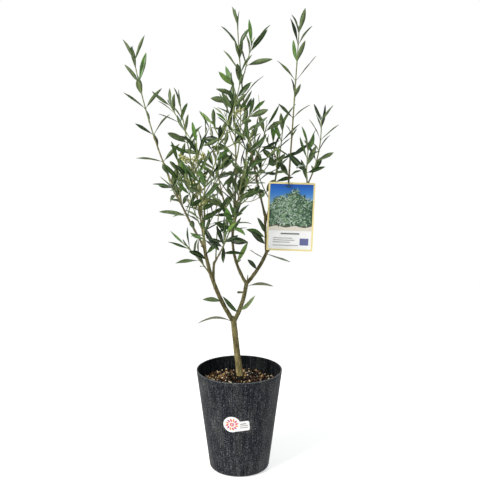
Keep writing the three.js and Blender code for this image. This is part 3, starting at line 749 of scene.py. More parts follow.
def bark_material():
    """Upright streaks, tan at the soil and olive brown above, with grey patches and pale pores"""
    look = Look("olive_bark", "7d7350", 0.8, 0.3)
    streak = look.noise(330, (1, 1, 0.2), detail=6, rough=0.7)
    patch = look.noise(60, (1, 1, 0.5), detail=4, rough=0.6)
    fine = look.noise(620, (1, 1, 0.7), detail=5, rough=0.75)
    low = look.ramp(streak, (0.3, "74683f"), (0.48, "b3a36b"), (0.66, "d8c894"))
    high = look.ramp(streak, (0.32, "3d3820"), (0.5, "706a42"), (0.68, "a19a6c"))
    body = look.blend(look.height_share(0.17, 0.27), low, high)
    body = look.blend(0.45, body, look.ramp(patch, (0.38, "71744c"), (0.62, "ffffff")), "MULTIPLY")
    body = look.blend(0.6, body, look.ramp(fine, (0.38, "4c4632"), (0.52, "ffffff")), "MULTIPLY")
    pore = look.add("ShaderNodeTexVoronoi", {"Vector": look.place(), "Scale": 330.0}).outputs["Distance"]
    look.colour(look.blend(look.ramp(pore, (0.13, "909090"), (0.24, "000000")), body, "c3b88e"))
    return look.bump(look.total(streak, fine), 0.7, 0.0008).rough(streak, 0.7, 0.9).material


def plastic(name, tones, dusty):
    """Pressed recycled plastic: fine pale specks, upright streaks and broad dusty patches"""
    look = Look(name, tones[1], 0.55, 0.07)
    speck = look.noise(560, detail=5, rough=0.8)
    streak = look.noise(1, (130, 10, 1), detail=5, source="UV", rough=0.7)
    broad = look.noise(1, (7, 5, 1), detail=4, source="UV", rough=0.6)
    grain = look.total(speck, look.spread(streak, To_Min=-0.22, To_Max=0.22))
    body = look.ramp(grain, *zip((0.37, 0.49, 0.58, 0.72), tones))
    dust = look.ramp(broad, (0.46, "000000"), (0.64, "b0b0b0"))
    look.colour(look.blend(dust, body, look.ramp(grain, (0.36, dusty[0]), (0.66, dusty[1]))))
    return look.bump(grain, 0.4, 0.0005).rough(streak, 0.42, 0.68).material


OUTER_WALL, RIM, INNER_WALL = range(3)
POT_LOOKS = [
    plastic("black_nursery_plastic", ("010203", "13161b", "3c3f47", "949699"), ("101011", "757573")),
    # The rim: the same plastic in lighter tones, a painted highlight along its edge
    plastic("pot_rim_painted_highlight", ("2c2e31", "4c4f52", "717476", "9c9e9f"), ("44464a", "8a8a89")),
    # The inner wall: the same plastic in darker tones, painted shade inside the pot
    plastic("pot_inner_wall_painted_shade", ("050708", "0f1315", "23282b", "7d8184"), ("121415", "4a4b4a")),
]


def soil_material():
    look = Look("dark_compost", "2c1d13", 0.9, 0.1)
    grain = look.noise(420, detail=6, rough=0.7)
    look.colour(look.ramp(grain, (0.3, "070504"), (0.55, "150e09"), (0.72, "2c1d12"), (0.85, "5a402a")))
    return look.bump(grain, 0.9, 0.0015).material


CHIP_LOOKS = [
    mottled("chip_black_bark", [(0.3, "060403"), (0.7, "140d08")], 700, 0.6, specular=0.2),
    mottled("chip_dark_bark", [(0.3, "1c110a"), (0.7, "352113")], 700, 0.6, specular=0.25),
    mottled("chip_brown_bark", [(0.3, "4a2e1a"), (0.7, "7c5433")], 700, 0.65, specular=0.3),
    mottled("chip_tan_bark", [(0.3, "94703f"), (0.7, "caa673")], 700, 0.7, specular=0.3),
    mottled("grain_cream_pumice", [(0.3, "d9c79c"), (0.7, "f5ead0")], 900, 0.85, specular=0.3),
]


def paper(name, colour, roughness=0.4):
    look = Look(name, colour, roughness, 0.5)
    return look.bump(look.noise(900, detail=2), 0.12, 0.0002).material


def sky_print():
    """Blue that pales towards the skyline"""
    look = Look("print_sky", "3f7cc4", 0.4, 0.4)
    share = look.height_share(0.47, 0.507)
    return look.colour(look.ramp(share, (0.0, "8fc0ee"), (0.5, "3f86d8"), (1.0, "144fbc"))).material


LABEL_LOOKS = {
    "card": paper("label_gold_card", "fbe9a2"),
    "sky": sky_print(),
    "ground": paper("print_ground", "e8e2d4"),
    "shade": paper("print_leaf_shade", "365445"),
    "dark": paper("print_leaf_dark", "567857"),
    "green": paper("print_leaf_green", "8fae89"),
    "silver": paper("print_leaf_silver", "c2d6c4"),
    "shadow": paper("print_shadow", "5a5f4c"),
    "panel": paper("print_white_panel", "ffffff"),
    "line": paper("print_grey_line", "77797b"),
    "block": paper("print_violet_block", "6c70a0"),
}
STICKER_WHITE, PETALS, STICKER_GREY = 0, (1, 2, 3), 4
STICKER_LOOKS = [
    paper("sticker_white", "f3f0ef", 0.35), paper("sticker_coral", "d9453f"), paper("sticker_rose", "b73f78"),
    paper("sticker_orange", "e8884f"), paper("sticker_grey", "6f7073"),
]

# ---- mesh builders ----


def mesh_piece(name, points, faces, materials, indices=None, smooth=True, uv=None):
    """A piece made from points in millimetres"""
    mesh = bpy.data.meshes.new(name)
    mesh.from_pydata((np.asarray(points, float) * MM).tolist(), [], faces)
    for material in materials:
        mesh.materials.append(material)
    if indices is not None:
        mesh.polygons.foreach_set("material_index", np.asarray(indices, dtype=np.int32))
    mesh.polygons.foreach_set("use_smooth", np.full(len(mesh.polygons), smooth))
    if uv is not None:
        layer = mesh.uv_layers.new(name="UVMap")
        corners = np.zeros(len(mesh.loops), dtype=np.int32)
        mesh.loops.foreach_get("vertex_index", corners)
        layer.data.foreach_set("uv", np.asarray(uv, float)[corners].ravel())
    mesh.update()
    return linked(bpy.data.objects.new(name, mesh))


def linked(thing):
    bpy.context.scene.collection.objects.link(thing)
    return thing


def settle(thing, slot, *nodes):
    """Let a piece ride on the body and replace its nodes. Its slot is not used."""
    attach(thing, "root")
    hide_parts(*nodes)


class Heap:
    """Points, faces and material numbers of many small things that become one piece"""

    def __init__(self):
        self.points, self.faces, self.looks, self.count = [], [], [], 0

    def add(self, points, faces, look=0):
        """Add a thing. Its look is one material number, or one for each face."""
        points = np.asarray(points, float)
        self.points.append(points)
        self.faces += [tuple(int(i) + self.count for i in face) for face in faces]
        self.looks += list(look) if hasattr(look, "__len__") else [look] * len(faces)
        self.count += len(points)

    def kept_inside(self, margin=0.05):
        """The same heap, with what would leave the solids' box pressed back into it"""
        self.points = [np.clip(points, BOX_LOW + margin, BOX_HIGH - margin) for points in self.points]
        return self

    def piece(self, name, materials, smooth=True):
        return mesh_piece(name, np.vstack(self.points), self.faces, materials, self.looks, smooth)


def tube(points, radii, sides, closed=False, start=0.0):
    """Rings along points, and the quads between them, capped at both ends unless closed"""
    points, count = np.asarray(points, float), len(points)
    if closed:
        ahead = np.roll(points, -1, 0) - np.roll(points, 1, 0)
    else:
        ahead = np.gradient(points, axis=0)
    ahead /= np.linalg.norm(ahead, axis=1)[:, None]
    side = np.cross(ahead[0], UP if abs(ahead[0][2]) < 0.9 else np.array([1.0, 0, 0]))
    angles = start + ring(sides)
    rings = []
    for point, heading, radius in zip(points, ahead, radii):
        side = unit(side - heading * np.dot(side, heading))
        across = np.cross(heading, side)
        rings.append(point + radius * (np.outer(np.cos(angles), side) + np.outer(np.sin(angles), across)))
    faces = []
    for i in range(count if closed else count - 1):
        a, b = i * sides, ((i + 1) % count) * sides
        faces += [(a + k, a + (k + 1) % sides, b + (k + 1) % sides, b + k) for k in range(sides)]
    if not closed:
        faces.append(tuple(reversed(range(sides))))
        faces.append(tuple(range((count - 1) * sides, count * sides)))
    return np.vstack(rings), faces


def evaluated_mesh(thing):
    bpy.context.view_layer.update()
    return bpy.data.meshes.new_from_object(thing.evaluated_get(bpy.context.evaluated_depsgraph_get()))


def apply_modifier(thing, kind, **settings):
    modifier = thing.modifiers.new(kind, kind)
    for key, value in settings.items():
        setattr(modifier, key, value)
    mesh, old = evaluated_mesh(thing), thing.data
    thing.modifiers.clear()
    thing.data = mesh
    bpy.data.meshes.remove(old)


# ---- leaves ----

STATIONS = np.array([0, 0.05, 0.1, 0.17, 0.27, 0.38, 0.5, 0.63, 0.76, 0.88, 0.96, 1.0])  # along a leaf
COLUMNS = np.array([-1, -0.52, -0.1, 0.1, 0.52, 1])  # across it, as shares of half its width
MIDRIB_COLUMN = 2
KEEL = 0.5  # how far the underside's ridge lies below
PETIOLE = 0.55  # half the width of a leaf's stalk
LEAF_END = 0.18  # half the width of its blunt tip
# How far leaves bend, as shares of their length, but for the fold and ripple across them and the twist
BENDING = dict(arch=(-0.012, 0.038), droop=0.09, sway=0.05, fold=(0.15, 0.4), ripple=0.12, twist=0.7)
TOP, MIDRIB, UNDERSIDE = range(3)  # of a leaf
LEAF_NUMBERS = {name: number for number, name in enumerate(LEAF_LOOKS)}


def leaf_shape(share):
    """Half the width of the blade at a share of its length: oblong, with a short stalk and a blunt tip"""
    past_stalk = np.clip((share - 0.07) / 0.93, 0, 1)
    return np.sin(math.pi * past_stalk**1.1) ** 0.78


def leaf_faces():
    """The faces of every leaf, each with the side of the leaf that it is on"""
    rows, columns = len(STATIONS), len(COLUMNS)
    width = columns + 1  # the last one is the keel below
    faces, sides = [], []
    for i in range(rows - 1):
        a, b = i * width, (i + 1) * width
        for c in range(columns - 1):
            faces.append((a + c, a + c + 1, b + c + 1, b + c))
            sides.append(MIDRIB if c == MIDRIB_COLUMN else TOP)
        faces.append((a + columns - 1, a + columns, b + columns, b + columns - 1))
        faces.append((a + columns, a, b, b + columns))
        sides += [UNDERSIDE, UNDERSIDE]
    last = (rows - 1) * width
    faces.append(tuple(range(columns, -1, -1)))
    faces.append(tuple(range(last, last + columns + 1)))
    return faces, sides + [MIDRIB, MIDRIB]


LEAF_FACES, LEAF_SIDES = leaf_faces()


def crosses_card(points):
    """Whether a leaf would pass through the plant label"""
    x, y, z = (points.reshape(-1, 3) - np.array(LABEL["centre"])).T
    across, up = turned(x, z, math.radians(LABEL["lean"]))
    near = (np.abs(across) < LABEL["width"] / 2 + 1) & (np.abs(up) < LABEL["height"] / 2 + 1)
    return near.any() and y[near].min() < 1.5


def leaf_palette(young, tone):
    """The looks of a leaf's top, midrib and underside, by its age and a draw"""
    if young > 0.92:
        return "young", "midrib", "young_underside"
    if tone > 0.86:
        return "grey", "midrib", "underside"
    if young > 0.55 and tone > 0.3:
        return "mid", "midrib", "underside"
    return "dark" if tone > 0.35 else "deep", "midrib", "underside"


def add_leaf(heap, leaf, seed):
    """A leaf that arches, droops, sways, folds, twists and ripples, each by its own draw"""
    root, along, normal, length = leaf["root"], leaf["along"], leaf["normal"], leaf["length"]
    if "sunk" in leaf:
        root, length = root - along * leaf["sunk"], length + leaf["sunk"]
    across = np.cross(normal, along)
    girth, arch, droop, sway, fold, twist, ripple, age, tone = (
        chance(seed, leaf["key"] + CURL_KEYS, draw) for draw in range(40, 49))
    broad = 1.24 if girth > 0.72 else 0.97
    half = np.maximum(leaf_shape(STATIONS) * leaf["width"] / 2 * broad, PETIOLE * min(1, leaf["width"] / 6))
    half[-1] = LEAF_END
    bow = np.sin(math.pi * STATIONS)
    rise = length * (mix(*BENDING["arch"], arch) * bow - BENDING["droop"] * droop**2 * STATIONS**3)
    shift = length * BENDING["sway"] * (sway - 0.5) * bow
    turn = BENDING["twist"] * (twist - 0.5) * STATIONS[:, None]
    wave = BENDING["ripple"] * half * np.sin(9 * STATIONS + 6 * ripple)
    keel = np.zeros((len(STATIONS), 1))
    x = half[:, None] * COLUMNS
    z = mix(*BENDING["fold"], fold) * np.abs(x) - 0.1 * (np.abs(COLUMNS) < 0.2) + wave[:, None] * COLUMNS
    x, z = np.hstack([x, keel]), np.hstack([z, keel - KEEL])
    sideways = x * np.cos(turn) - z * np.sin(turn) + shift[:, None]
    upwards = x * np.sin(turn) + z * np.cos(turn) + rise[:, None]
    spine = root + np.outer(STATIONS * length, along) + np.outer(bow, leaf.get("rise", 0 * UP))
    points = spine[:, None] + sideways[..., None] * across + upwards[..., None] * normal
    if crosses_card(points):
        return
    top, *others = leaf_palette(leaf["young"] + 0.5 * (age - 0.5), tone)
    palette = [LEAF_NUMBERS[look] for look in (leaf.get("look", top), *others)]
    heap.add(points.reshape(-1, 3), LEAF_FACES, [palette[side] for side in LEAF_SIDES])


def bolder(leaf, scale):
    """The leaf enlarged, unless its tip would leave the solids' box"""
    larger = dict(leaf, length=leaf["length"] * scale, width=leaf["width"] * scale)
    tip = larger["root"] + larger["along"] * larger["length"]
    return larger if within(tip, BOX_LOW, BOX_HIGH, 1) else leaf


# ---- twigs ----

SKIN_SIZES = (1.55, 1.2, 0.85)  # radii at which a twig's skin changes to the next, younger one
NODE = dict(swell=0.28, reach=2.2)  # of a twig, where a pair of leaves sits


def add_twig(heap, twig, step=3.2, sides=7):
    length = twig.bend.length
    shares = np.linspace(0, 1, max(4, round(length / step)) + 1)
    nodes = np.array(pair_places(twig))
    radii = []
    for t in shares:
        near = np.min(np.abs(nodes - t)) * length
        wobble = 1 + 0.05 * math.sin(t * length * 0.9 + twig.number)
        swell = 1 + NODE["swell"] * math.exp(-((near / NODE["reach"]) ** 2))
        radii.append(twig.radius_at(t) * wobble * swell)
    points, faces = tube([twig.bend.point(t) for t in shares], radii, sides, start=twig.number)
    looks = []
    for t in shares[:-1]:
        looks += [sum(twig.radius_at(t) <= size for size in SKIN_SIZES)] * sides
    heap.add(points, faces, looks + [looks[0], looks[-1]])


# ---- blossom ----

# A ball of 20 triangles: a point at either end and two rings of five between them
BALL_POINTS = np.array(
    [(0, 0, 1)] + [(*polar(0.894, a), 0.447) for a in ring(5)]
    + [(*polar(0.894, a), -0.447) for a in ring(5, 0.5)] + [(0, 0, -1)])
BALL_FACES = [
    face for k, n in ((0, 1), (1, 2), (2, 3), (3, 4), (4, 0))
    for face in ((0, 1 + k, 1 + n), (1 + k, 6 + k, 1 + n), (1 + n, 6 + k, 6 + n), (6 + k, 11, 6 + n))
]
PANICLE = dict(levels=7, spacing=0.12, arm=(4.4, 1.6), bud=(1.05, 1.7), scatter=3.2)


def add_panicle(heap, flower, seed):
    """A stalk with pairs of arms that shorten towards its tip, each ending in a cluster of buds"""
    axis, length, root, key = flower["along"], flower["length"], flower["root"], flower["key"]
    side = unit(np.cross(axis, DEPTH))
    across = np.cross(side, axis)
    stalk = [root + axis * (length * s) + UP * (1.2 * s * s) for s in (0, 0.3, 0.6, 0.95)]
    heap.add(*tube(stalk, (0.6, 0.5, 0.42, 0.3), 5), STALK)
    last = PANICLE["levels"] - 1
    for level in range(last + 1):
        base = root + axis * (length * (0.24 + PANICLE["spacing"] * level))
        for arm in range(1 if level == last else 2):
            turn = level * math.pi / 2 + arm * math.pi + chance(seed, key + level, 51)
            reach = mix(*PANICLE["arm"], level / last) * (0.8 + 0.4 * chance(seed, key * 7 + level + arm, 52))
            reach *= level < last
            out = side * math.cos(turn) + across * math.sin(turn)
            end = base + out * reach + axis * (reach * 0.5 + 0.8)
            heap.add(*tube([base, mix(base, end, 0.5), end], (0.3, 0.28, 0.25), 4), STALK)
            for bud in range(3 if level < 4 else 2):
                draw = key * 31 + level * 5 + arm * 3 + bud
                offset = np.array([chance(seed, draw, 53 + i) - 0.5 for i in range(3)]) * PANICLE["scatter"]
                place = end + offset * (bud > 0)
                size = mix(*PANICLE["bud"], chance(seed, draw, 56))
                skin = CREAM if chance(seed, draw, 57) > 0.5 else PALE_GREEN
                heap.add(BALL_POINTS * size + place, BALL_FACES, skin)


# ---- foliage pieces ----


def make_foliage(name, part):
    """The leaves, twigs and blossom of one mass, each kind as one piece"""
    plain, seed = name.replace("foliage_", ""), part["seed"]
    leaves, twigs, blossom = Heap(), Heap(), Heap()
    for leaf in part["leaves"]:
        if leaf["root"][2] > CROWN_TOP:
            add_leaf(leaves, bolder(leaf, part["bold"]), seed)
        elif chance(seed, leaf["key"], 60) > part["thin"]:
            add_leaf(leaves, leaf, seed)
    for twig in part["twigs"]:
        add_twig(twigs, twig)
    for twig in part["sprigs"]:
        add_twig(twigs, twig, 4, 6)
    for flower in part["flowers"]:
        add_panicle(blossom, flower, seed)
    settle(leaves.kept_inside().piece("leaves_" + plain, list(LEAF_LOOKS.values())), "foliage", name)
    settle(twigs.kept_inside().piece("twigs_" + plain, TWIG_SKINS), "foliage", name)
    if part["flowers"]:
        settle(blossom.kept_inside().piece("blossom_" + plain, BUD_SKINS), "foliage", name)


def make_bough_leaves():
    heap = Heap()
    for leaf in singles:
        add_leaf(heap, leaf, 3)
    return heap.piece("bough_leaves", list(LEAF_LOOKS.values()))


for name, part in crown.items():
    make_foliage(name, part)
settle(make_bough_leaves(), "foliage", *["single_leaf_%d" % (i + 1) for i in range(len(singles))])

# ---- trunk and boughs ----

VOXEL = 0.5
SMOOTHING = 6
LIMB_STEP = 3  # between the rings of a limb
COLLAR = 16  # how far the bark runs up the foot of each mass's stem
RELIEF = dict(ridge=0.26, lump=0.3, pore=1.6)
# Pruned stubs and old snags: foot, tip, radius at foot and tip
STUBS = [
    ((7, 4.5, 316.5), (-3, 1, 317.5), 1.5, 2.1),
    ((14, 2, 336), (14.5, -1, 349), 1.4, 0.7),
    ((-5, 9, 367), (3, 5, 374), 1.3, 0.8),
    ((-58, -14, 398), (-65, -16, 402.5), 1.4, 0.9),
    ((-8, -1, 266), (-11, -3, 277), 2.8, 1.2),
]


def limb_paths():
    """Every run of bark: its points and its radii"""
    paths = []
    for limb in limbs.values():
        shares = np.linspace(0, 1, max(6, round(limb.bend.length / LIMB_STEP)) + 1)
        paths.append(([limb.bend.point(t) for t in shares], [limb.radius_at(t) for t in shares]))
    for part in crown.values():
        main = part["twigs"][0]
        end = min(1, COLLAR / main.bend.length)
        shares = np.linspace(0, end, 7)
        swell = [0.9 * math.exp(-t / end * 2.2) - 0.1 * t / end for t in shares]
        radii = [main.radius_at(t) + s for t, s in zip(shares, swell)]
        paths.append(([main.bend.point(t) for t in shares], radii))
    for foot, tip, wide, thin in STUBS:
        shares = (0, 0.35, 0.7, 1)
        points = [mix(np.array(foot, float), np.array(tip, float), t) for t in shares]
        paths.append((points, [mix(wide, thin, t) for t in shares]))
    return paths


def relief(place, along, angle, radius):
    """How far the bark stands out, in millimetres: long ridges, broad lumps and raised pores"""
    round_x, round_y = math.cos(angle) * radius, math.sin(angle) * radius
    ridge = noise.fractal(Vector((round_x, round_y, along * 0.13)) * 0.9, 0.8, 2.0, 3)
    lump = noise.noise(Vector(place) * 0.09)
    pore_place = Vector((round_x * 0.75, round_y * 0.75, along * 0.5)) + Vector((31, 7, 5))
    pore = max(0.0, noise.noise(pore_place) - 0.42)
    return RELIEF["ridge"] * ridge + RELIEF["lump"] * lump + RELIEF["pore"] * pore


def make_bark():
    """One skin over the trunk, boughs, collars and stubs, moved in or out by its relief"""
    heap, paths = Heap(), limb_paths()
    for points, radii in paths:
        heap.add(*tube(points, radii, 14))
    thing = heap.piece("bark", [bark_material()])
    apply_modifier(thing, "REMESH", mode="VOXEL", voxel_size=VOXEL * MM, use_smooth_shade=True)
    apply_modifier(thing, "SMOOTH", factor=0.5, iterations=SMOOTHING)
    samples = [(np.array(p), path, i) for path, (points, _) in enumerate(paths) for i, p in enumerate(points)]
    tree = kdtree.KDTree(len(samples))
    for i, (p, _, _) in enumerate(samples):
        tree.insert(Vector(p), i)
    tree.balance()
    mesh = thing.data
    count = len(mesh.vertices)
    places, normals = np.zeros(count * 3), np.zeros(count * 3)
    mesh.vertices.foreach_get("co", places)
    mesh.vertices.foreach_get("normal", normals)
    places, normals = places.reshape(-1, 3) / MM, normals.reshape(-1, 3)
    out = np.zeros(count)
    for i, place in enumerate(places):
        _, index, _ = tree.find(Vector(place))
        centre, path, step = samples[index]
        points, radii = paths[path]
        run = np.array(points[min(step + 1, len(points) - 1)]) - np.array(points[max(step - 1, 0)])
        away = place - centre
        along = step * LIMB_STEP + np.dot(away, run) / np.linalg.norm(run)
        out[i] = relief(place, along, math.atan2(away[1], away[0]), radii[step])
    places = places + normals * out[:, None]
    places[:, 2] = np.maximum(places[:, 2], SOIL["top"] - 6)
    mesh.vertices.foreach_set("co", (places * MM).ravel())
    mesh.update()
    return thing


settle(make_bark(), "bark", *limbs)

# ---- pot ----

POT_SEGMENTS = 144
POT_SLOPE = (POT["rim_radius"] - POT["foot_radius"]) / (POT["height"] - POT["foot_corner"])


def pot_radius(z):
    return POT["foot_radius"] + (z - POT["foot_corner"]) * POT_SLOPE


def lathe(outline, segments):
    """A closed turned mesh: points, faces, and for each point a share round half the axis and one along
    the outline. The share round runs back again on the other half, so that it has no seam."""
    outline = np.array(outline, float)
    run = np.concatenate([[0], np.cumsum(np.linalg.norm(np.diff(outline, axis=0), axis=1))])
    points, faces, uv, rows = [], [], [], []
    for (radius, z), distance in zip(outline, run):
        if radius < 1e-6:
            rows.append([len(points)])
            points.append((0, 0, z))
            uv.append((0.5, distance / run[-1]))
            continue
        rows.append(list(range(len(points), len(points) + segments)))
        for i, a in enumerate(ring(segments)):
            points.append((*polar(radius, a), z))
            uv.append((abs(2 * i / segments - 1), distance / run[-1]))
    for low, high in zip(rows, rows[1:]):
        for i in range(segments):
            j = (i + 1) % segments
            if len(low) == 1:
                faces.append((low[0], high[j], high[i]))
            elif len(high) == 1:
                faces.append((low[i], low[j], high[0]))
            else:
                faces.append((low[i], low[j], high[j], high[i]))
    return np.array(points), faces, uv


def pot_outline():
    """From the middle of the underside, up the outside, over the rim and down to the middle of the floor"""
    height, rim, foot, floor = POT["height"], POT["rim_radius"], POT["foot_radius"], POT["floor_top"]
    corner, depth, lip = POT["foot_corner"], POT["channel_depth"], POT["lip"]
    rounding = [polar(corner, a, (foot - corner, corner)) for a in np.linspace(-math.pi / 2, 0, 8)]
    outside = [(pot_radius(z), z) for z in np.linspace(corner + 8, height - 1.1, 22)]
    inside = [
        (pot_radius(z) - POT["wall"], z) for z in np.linspace(height - 2 * POT["lip_depth"], floor + 4, 12)
    ]
    return [
        (0, 0), (POT["centre_radius"], 0), (POT["centre_radius"] + depth, depth),
        (POT["channel_outer"] - depth, depth), (POT["channel_outer"], 0), *rounding, *outside,
        (rim - 0.3, height - 0.35), (rim - 0.8, height), (rim - lip + 0.6, height),
        (rim - lip + 0.15, height - 0.4), (rim - lip, height - POT["lip_depth"]), *inside,
        (foot - corner, floor), (0, floor),
    ]


def make_pot():
    points, faces, uv = lathe(pot_outline(), POT_SEGMENTS)
    looks = []
    for face in faces:
        x, y, z = np.mean(points[list(face)], axis=0)
        # Faces inside the wall take its darker tones, painted shade
        inner = z > POT["floor_top"] - 0.1 and math.hypot(x, y) < pot_radius(z) - 1.2
        # Faces in the top millimetre take the rim's lighter tones, a painted highlight
        looks.append(RIM if z > POT["height"] - 1.0 else INNER_WALL if inner else OUTER_WALL)
    thing = mesh_piece("pot_shell", points, faces, POT_LOOKS, looks, uv=uv)
    holes = Heap()
    for a in ring(POT["drain_holes"]):
        x, y = polar(POT["drain_circle"], a)
        holes.add(*tube([(x, y, -5), (x, y, 12)], [POT["drain_radius"]] * 2, 24))
    cutter = holes.piece("drain_cutter", [])
    apply_modifier(thing, "BOOLEAN", operation="DIFFERENCE", object=cutter, solver="EXACT")
    bpy.data.objects.remove(cutter)
    for polygon in thing.data.polygons:
        polygon.use_smooth = True
    thing.data.set_sharp_from_angle(angle=math.radians(40))
    return thing


settle(make_pot(), "pot", "pot")

# ---- soil ----

MOUND = dict(height=4.2, radius=20)  # of loose soil round the trunk
CHIPS = dict(
    count=2300, shares=(0.38, 0.26, 0.17, 0.11, 0.08), small=(0.8, 2.0), large=(2.2, 4.8), from_trunk=8,
)
PUMICE = 4  # the number of the rounder grains among the kinds of chip


def soil_height(x, y):
    """The mound's height at a place, with its clods"""
    radius = math.hypot(x, y)
    edge = pot_radius(SOIL["edge"]) - POT["wall"]
    share = min(1, max(0, (radius - SOIL["foot_radius"]) / (edge - SOIL["foot_radius"])))
    clod = noise.noise(Vector((x, y, 3)) * 0.16) * 1.5 + noise.noise(Vector((x, y, 9)) * 0.5) * 0.8
    heaped = MOUND["height"] * math.exp(-((radius / MOUND["radius"]) ** 2))
    return mix(SOIL["top"], SOIL["edge"], share**1.35) + heaped + clod * min(1, radius / 15) - 1.2


def make_soil():
    edge = pot_radius(SOIL["edge"]) - POT["wall"] - 0.4
    foot = POT["floor_top"] + GAP
    outline = [
        (0, foot), (POT["foot_radius"] - POT["foot_corner"] - 1, foot),
        (pot_radius(POT["floor_top"] + 5) - POT["wall"] - 1, POT["floor_top"] + 5),
        *[(radius, SOIL["edge"]) for radius in np.linspace(edge, 0, 46)],
    ]
    points, faces, _ = lathe(outline, 120)
    for i in np.flatnonzero(points[:, 2] > SOIL["edge"] - 0.01):
        points[i, 2] = soil_height(points[i, 0], points[i, 1])
    return mesh_piece("soil_bed", points, faces, [soil_material()])


def make_chips():
    """Loose bark chips and pumice grains, each a small rough lump or splinter"""
    draw = np.random.default_rng(7)
    heap = Heap()
    edge = pot_radius(SOIL["edge"]) - POT["wall"] - 1
    for _ in range(CHIPS["count"]):
        kind = draw.choice(len(CHIP_LOOKS), p=CHIPS["shares"])
        is_small = draw.random() < 0.76 or kind == PUMICE
        size = draw.uniform(*CHIPS["small" if is_small else "large"])
        radius = mix(CHIPS["from_trunk"], edge - size, draw.random() ** 0.62)
        x, y = polar(radius, draw.uniform(0, 2 * math.pi))
        if kind == PUMICE:
            stretch = (1, 0.9, 0.8)
        else:
            stretch = (1, draw.uniform(0.25, 0.65), draw.uniform(0.15, 0.45))
        lump = BALL_POINTS * (1 + 0.3 * draw.standard_normal((12, 1)).clip(-1, 1)) * stretch * size
        spin = Matrix.Rotation(draw.uniform(0, 6.3), 3, "Z") @ Matrix.Rotation(draw.normal(0, 0.45), 3, "Y")
        lump = lump @ np.array(spin @ Matrix.Rotation(draw.normal(0, 0.9), 3, "X")).T
        z = soil_height(x, y) + size * draw.uniform(0, 0.5)
        heap.add(lump + (x, y, z), BALL_FACES, int(kind))
    return heap.piece("soil_chips", CHIP_LOOKS, smooth=False)


settle(make_soil(), "soil", "soil")
settle(make_chips(), "soil", "soil")

# ---- label ----

FRONT = -LABEL["thickness"] / 2
PUNCHED = 0.8  # the holes' radius in the card
WIRE_LEVEL = LABEL["height"] / 2 - LABEL["hole_drop"] + LABEL["hole_radius"] - TIE["wire"] - 1.5 * GAP
PRINT = dict(
    half=LABEL["width"] / 2 - 2.8, top=LABEL["height"] / 2 - 3, low=-LABEL["height"] / 2 + 3, split=-24,
)
LABEL_NUMBERS = {name: number for number, name in enumerate(LABEL_LOOKS)}
LEAF_INKS = ("shade", "dark", "green", "silver")
SUNNY, SHADY = (0.16, 0.26, 0.3, 0.28), (0.36, 0.34, 0.2, 0.1)  # shares of those inks
PRINTED_LEAVES = 1500
# Grey bars below the picture: foot, left end, right end and height
BARS = [
    (-30.5, -16, 16, 2.6), (-37.5, -29, 4, 1.1), (-41, -29, 8, 1.1), (-44.5, -29, 0, 1.1), (-50, -29, 15, 1),
]


def rounded(width, height, corner, steps=6, centre=(0, 0)):
    """A rectangle with rounded corners"""
    w, h, points = width / 2 - corner, height / 2 - corner, []
    for k, (sx, sz) in enumerate(((1, 1), (-1, 1), (-1, -1), (1, -1))):
        for a in np.linspace(0, math.pi / 2, steps):
            points.append(polar(corner, a + k * math.pi / 2, (centre[0] + sx * w, centre[1] + sz * h)))
    return points


def box(left, low, right, high):
    return [(left, low), (right, low), (right, high), (left, high)]


def lance(root, turn, length, width, steps=7):
    """The outline of a printed leaf"""
    shares = np.linspace(0, 1, steps)
    half = np.sin(math.pi * shares**0.85) * width / 2
    upper = [(length * s, h) for s, h in zip(shares, half)]
    lower = [(length * s, -h) for s, h in zip(shares[-2:0:-1], half[-2:0:-1])]
    outline = []
    for x, z in reversed(upper + lower):
        x, z = turned(x, z, turn)
        outline.append((root[0] + x, root[1] + z))
    return outline


def plate(outlines, front, back):
    """A flat closed plate: the first outline, less the others, from y = front to y = back"""
    curve = bpy.data.curves.new("plate", "CURVE")
    curve.dimensions, curve.fill_mode, curve.extrude = "2D", "BOTH", (back - front) / 2 * MM
    for outline in outlines:
        spline = curve.splines.new("POLY")
        spline.points.add(len(outline) - 1)
        for point, (x, z) in zip(spline.points, outline):
            point.co = (x * MM, z * MM, 0, 1)
        spline.use_cyclic_u = True
    thing = linked(bpy.data.objects.new("plate", curve))
    mesh = evaluated_mesh(thing)
    bpy.data.objects.remove(thing)
    points = [(v.co.x / MM, (front + back) / 2 - v.co.z / MM, v.co.y / MM) for v in mesh.vertices]
    faces = [tuple(reversed(p.vertices)) for p in mesh.polygons]
    bpy.data.meshes.remove(mesh)
    return points, faces


class Card(Heap):
    """The label's plates and what is printed on it, given in its own frame"""

    def plate(self, outlines, front, back, look):
        points, faces = plate(outlines, front, back)
        self.add([label_point(*p) for p in points], faces, LABEL_NUMBERS[look])

    def ink(self, outline, proud, look):
        """A printed face, that far in front of the card"""
        points = [label_point(x, FRONT - proud, z) for x, z in outline]
        self.add(points, [tuple(range(len(outline)))], LABEL_NUMBERS[look])

    def hill(self, top, steps, proud, look):
        """Ink from the picture's foot up to a curve, where top gives its height at x"""
        half, split = PRINT["half"], PRINT["split"]
        curve = [(x, top(x)) for x in np.linspace(half, -half, steps)]
        self.ink([(-half, split), (half, split)] + curve, proud, look)


def skyline(x):
    """The top of the printed foliage"""
    return 35 + 8 * math.sin(x * 0.08 + 1.2) + 3.5 * math.sin(x * 0.21)


